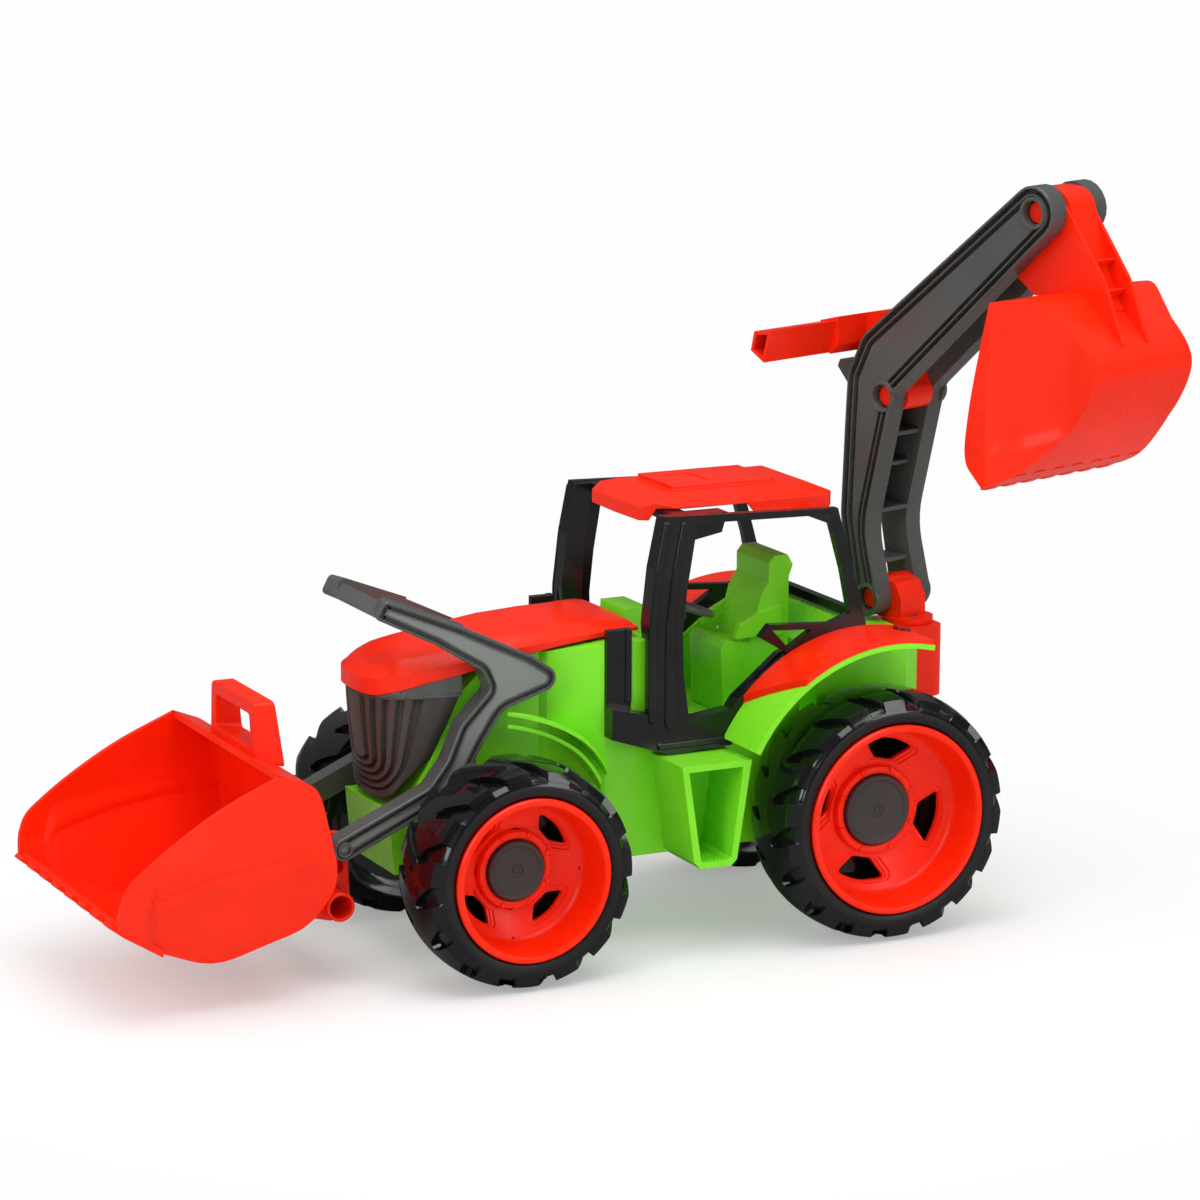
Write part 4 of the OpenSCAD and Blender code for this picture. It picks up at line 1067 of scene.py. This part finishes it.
def cab_ridges():
    """Raised ridges that wrap the windscreen pillars and edge the sill below the doors."""
    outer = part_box("cab_frame")[1].y / MM
    lines = {
        "front": [
            (156.5, 152, 2), (156.5, 216, 40), (152.3, 252, 60), (146, 283, 1),
            (141, 283, 1), (147, 252, 60), (151, 216, 40), (151, 152, 2),
        ],
        "rear": [
            (145, 148, 3), (144.5, 216, 40), (139.5, 252, 60), (133.5, 282, 1),
            (129, 282, 1), (134.5, 252, 60), (138.5, 216, 40), (137, 146, 3),
        ],
        "sill": [
            (150, 134, 1), (150, 139, 2), (100, 139, 3), (62, 176, 8),
            (34, 192, 2), (32, 188, 1), (58, 170, 8), (96, 134, 3),
        ],
    }
    for side, hand in ((1, "left"), (-1, "right")):
        parts = [
            plate(line, outer - 1, outer + 1.8, [(0, 1.2), (1.0, 0)], lambda x, z, y: mm(x, side * y, z))
            for line in lines.values()
        ]
        ridges = new_object(f"cab_frame_ridges_{hand}", *merge(*parts))
        tidy_mesh(ridges)
        soften(ridges, 0.5, 30, 2)
        add(ridges, "tractor", "black")


cab_ridges()


# ---------------------------------------------------------------- pieces kept from the frame

# radius of the edges, in millimetres
EDGE = {
    "chassis": 1.0, "underbody_plate": 0.5, "cab_frame": 1.8, "roof": 1.4, "roof_hatch": 0.5, "seat": 2.4,
    "fender_cover_left": 1.2, "fender_cover_right": 1.2, "backhoe_housing": 1.2, "turret": 1.4,
    "control_lever": 1.4, "loader_grip": 0.6, "vent_left": 0.5, "vent_right": 0.5,
    "headlight_left": 0.4, "headlight_right": 0.4,
}

replaced = {n for o in bpy.data.objects for n in o.get("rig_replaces", [])}
for name, obj in nodes.items():
    if name in replaced:
        continue
    obj.data.materials.clear()
    obj.data.materials.append(MATERIALS[slot_of_node[name]])
    soften(obj, EDGE.get(name, 0.35), 34, 3, weld=True)


# ---------------------------------------------------------------- stage, light and camera


FLOOR_TONE = 0.86
FLOOR_REACH = 30        # metres from the middle to an edge


def stage_floor():
    """Pale floor that fades into the white background away from the toy."""
    corners = [(x * FLOOR_REACH, y * FLOOR_REACH, 0) for x, y in ((-1, -1), (1, -1), (1, 1), (-1, 1))]
    floor = new_object("floor", corners, [(0, 1, 2, 3)])
    mat = bpy.data.materials.new("pale_floor")
    mat.use_nodes = True
    tree = mat.node_tree
    link = tree.links.new
    shader = tree.nodes["Principled BSDF"]
    shader.inputs["Roughness"].default_value = 0.9
    shader.inputs["Specular IOR Level"].default_value = 0.0
    white = tree.nodes.new("ShaderNodeEmission")
    white.inputs["Color"].default_value = (0.985, 0.985, 0.985, 1)
    place = tree.nodes.new("ShaderNodeNewGeometry")
    length = tree.nodes.new("ShaderNodeVectorMath")
    length.operation = "DISTANCE"
    length.inputs[1].default_value = (0.16, 0, 0)
    link(place.outputs["Position"], length.inputs[0])
    far = tree.nodes.new("ShaderNodeMapRange")
    far.interpolation_type = "SMOOTHSTEP"
    for key, number in (("From Min", 0.22), ("From Max", 0.62), ("To Min", 0.35), ("To Max", 1.0)):
        far.inputs[key].default_value = number
    link(length.outputs["Value"], far.inputs["Value"])
    path = tree.nodes.new("ShaderNodeLightPath")
    seen = tree.nodes.new("ShaderNodeMath")
    seen.operation = "MULTIPLY"
    link(far.outputs["Result"], seen.inputs[0])
    link(path.outputs["Is Camera Ray"], seen.inputs[1])
    darker = tree.nodes.new("ShaderNodeMix")              # what shiny plastic sees of the floor
    darker.data_type = "RGBA"
    darker.inputs[6].default_value = (*[FLOOR_TONE] * 3, 1)
    darker.inputs[7].default_value = (0.22, 0.22, 0.22, 1)
    link(path.outputs["Is Glossy Ray"], darker.inputs[0])
    link(darker.outputs[2], shader.inputs["Base Color"])
    mix = tree.nodes.new("ShaderNodeMixShader")
    link(seen.outputs[0], mix.inputs["Fac"])
    link(shader.outputs["BSDF"], mix.inputs[1])
    link(white.outputs["Emission"], mix.inputs[2])
    link(mix.outputs["Shader"], tree.nodes["Material Output"].inputs["Surface"])
    floor.data.materials.append(mat)
    bpy.context.scene.collection.objects.link(floor)


def world_light():
    """White to the camera, a soft studio gradient to everything else."""
    world = bpy.data.worlds.new("studio")
    bpy.context.scene.world = world
    world.use_nodes = True
    tree = world.node_tree
    tree.nodes.clear()
    link = tree.links.new
    out = tree.nodes.new("ShaderNodeOutputWorld")
    mix = tree.nodes.new("ShaderNodeMixShader")
    path = tree.nodes.new("ShaderNodeLightPath")
    seen = tree.nodes.new("ShaderNodeBackground")
    seen.inputs["Color"].default_value = (1, 1, 1, 1)
    seen.inputs["Strength"].default_value = 1.0
    lit = tree.nodes.new("ShaderNodeBackground")
    place = tree.nodes.new("ShaderNodeTexCoord")
    split = tree.nodes.new("ShaderNodeSeparateXYZ")
    tone = tree.nodes.new("ShaderNodeValToRGB")
    tone.color_ramp.elements[0].position = 0.42
    tone.color_ramp.elements[0].color = (0.10, 0.10, 0.10, 1)
    tone.color_ramp.elements[1].position = 0.95
    tone.color_ramp.elements[1].color = (1.0, 1.0, 1.0, 1)
    middle = tone.color_ramp.elements.new(0.62)
    middle.color = (0.42, 0.42, 0.42, 1)
    shift = tree.nodes.new("ShaderNodeMapRange")
    shift.inputs["From Min"].default_value = -1
    link(place.outputs["Generated"], split.inputs["Vector"])
    link(split.outputs["Z"], shift.inputs["Value"])
    link(shift.outputs["Result"], tone.inputs["Fac"])
    link(tone.outputs["Color"], lit.inputs["Color"])
    dim = tree.nodes.new("ShaderNodeMapRange")
    dim.inputs["To Min"].default_value = 1.0
    dim.inputs["To Max"].default_value = 0.3
    link(path.outputs["Is Glossy Ray"], dim.inputs["Value"])
    link(dim.outputs["Result"], lit.inputs["Strength"])
    link(path.outputs["Is Camera Ray"], mix.inputs["Fac"])
    link(lit.outputs["Background"], mix.inputs[1])
    link(seen.outputs["Background"], mix.inputs[2])
    link(mix.outputs["Shader"], out.inputs["Surface"])


def softbox(name, place, target, size, power):
    """Rectangular studio light that faces a target."""
    light = bpy.data.lights.new(name, "AREA")
    light.shape = "RECTANGLE"
    light.size, light.size_y = size
    light.energy = power
    obj = bpy.data.objects.new(name, light)
    obj.location = place
    obj.rotation_mode = "QUATERNION"
    obj.rotation_quaternion = (Vector(target) - Vector(place)).to_track_quat("-Z", "Y")
    bpy.context.scene.collection.objects.link(obj)


stage_floor()
world_light()
softbox("top", (0.3, 0.5, 1.9), (0.1, 0, 0.2), (1.6, 1.4), 20)
softbox("front", (1.9, 0.9, 1.0), (0.15, 0, 0.2), (0.5, 1.2), 8)
softbox("flank", (-0.9, 1.9, 0.8), (0.0, 0, 0.2), (0.5, 1.4), 7)

CAMERA_TURN = (25.904, 12.21, -0.208)     # azimuth from +Y towards +X, elevation and roll, degrees
CAMERA_PLACE = (1.3688, 2.4969, 0.8199)
LENS = 130.78


def make_camera():
    """Camera whose axes are set directly from its turn, rise and roll."""
    turn, rise, roll = (math.radians(v) for v in CAMERA_TURN)
    back = Vector((math.sin(turn) * math.cos(rise), math.cos(turn) * math.cos(rise), math.sin(rise)))
    right = Vector((-math.cos(turn), math.sin(turn), 0))
    down = -back.cross(right)
    if down.z > 0:
        down = -down
    level, sunk = right, down
    right = math.cos(roll) * level + math.sin(roll) * sunk
    down = math.cos(roll) * sunk - math.sin(roll) * level
    data = bpy.data.cameras.new("camera")
    data.lens = LENS
    data.sensor_width = 36
    data.clip_end = 20
    camera = bpy.data.objects.new("camera", data)
    bpy.context.scene.collection.objects.link(camera)
    camera.matrix_world = Matrix((
        (right.x, -down.x, back.x, CAMERA_PLACE[0]), (right.y, -down.y, back.y, CAMERA_PLACE[1]),
        (right.z, -down.z, back.z, CAMERA_PLACE[2]), (0, 0, 0, 1),
    ))
    bpy.context.scene.camera = camera


make_camera()
bpy.context.scene.view_settings.view_transform = "Standard"
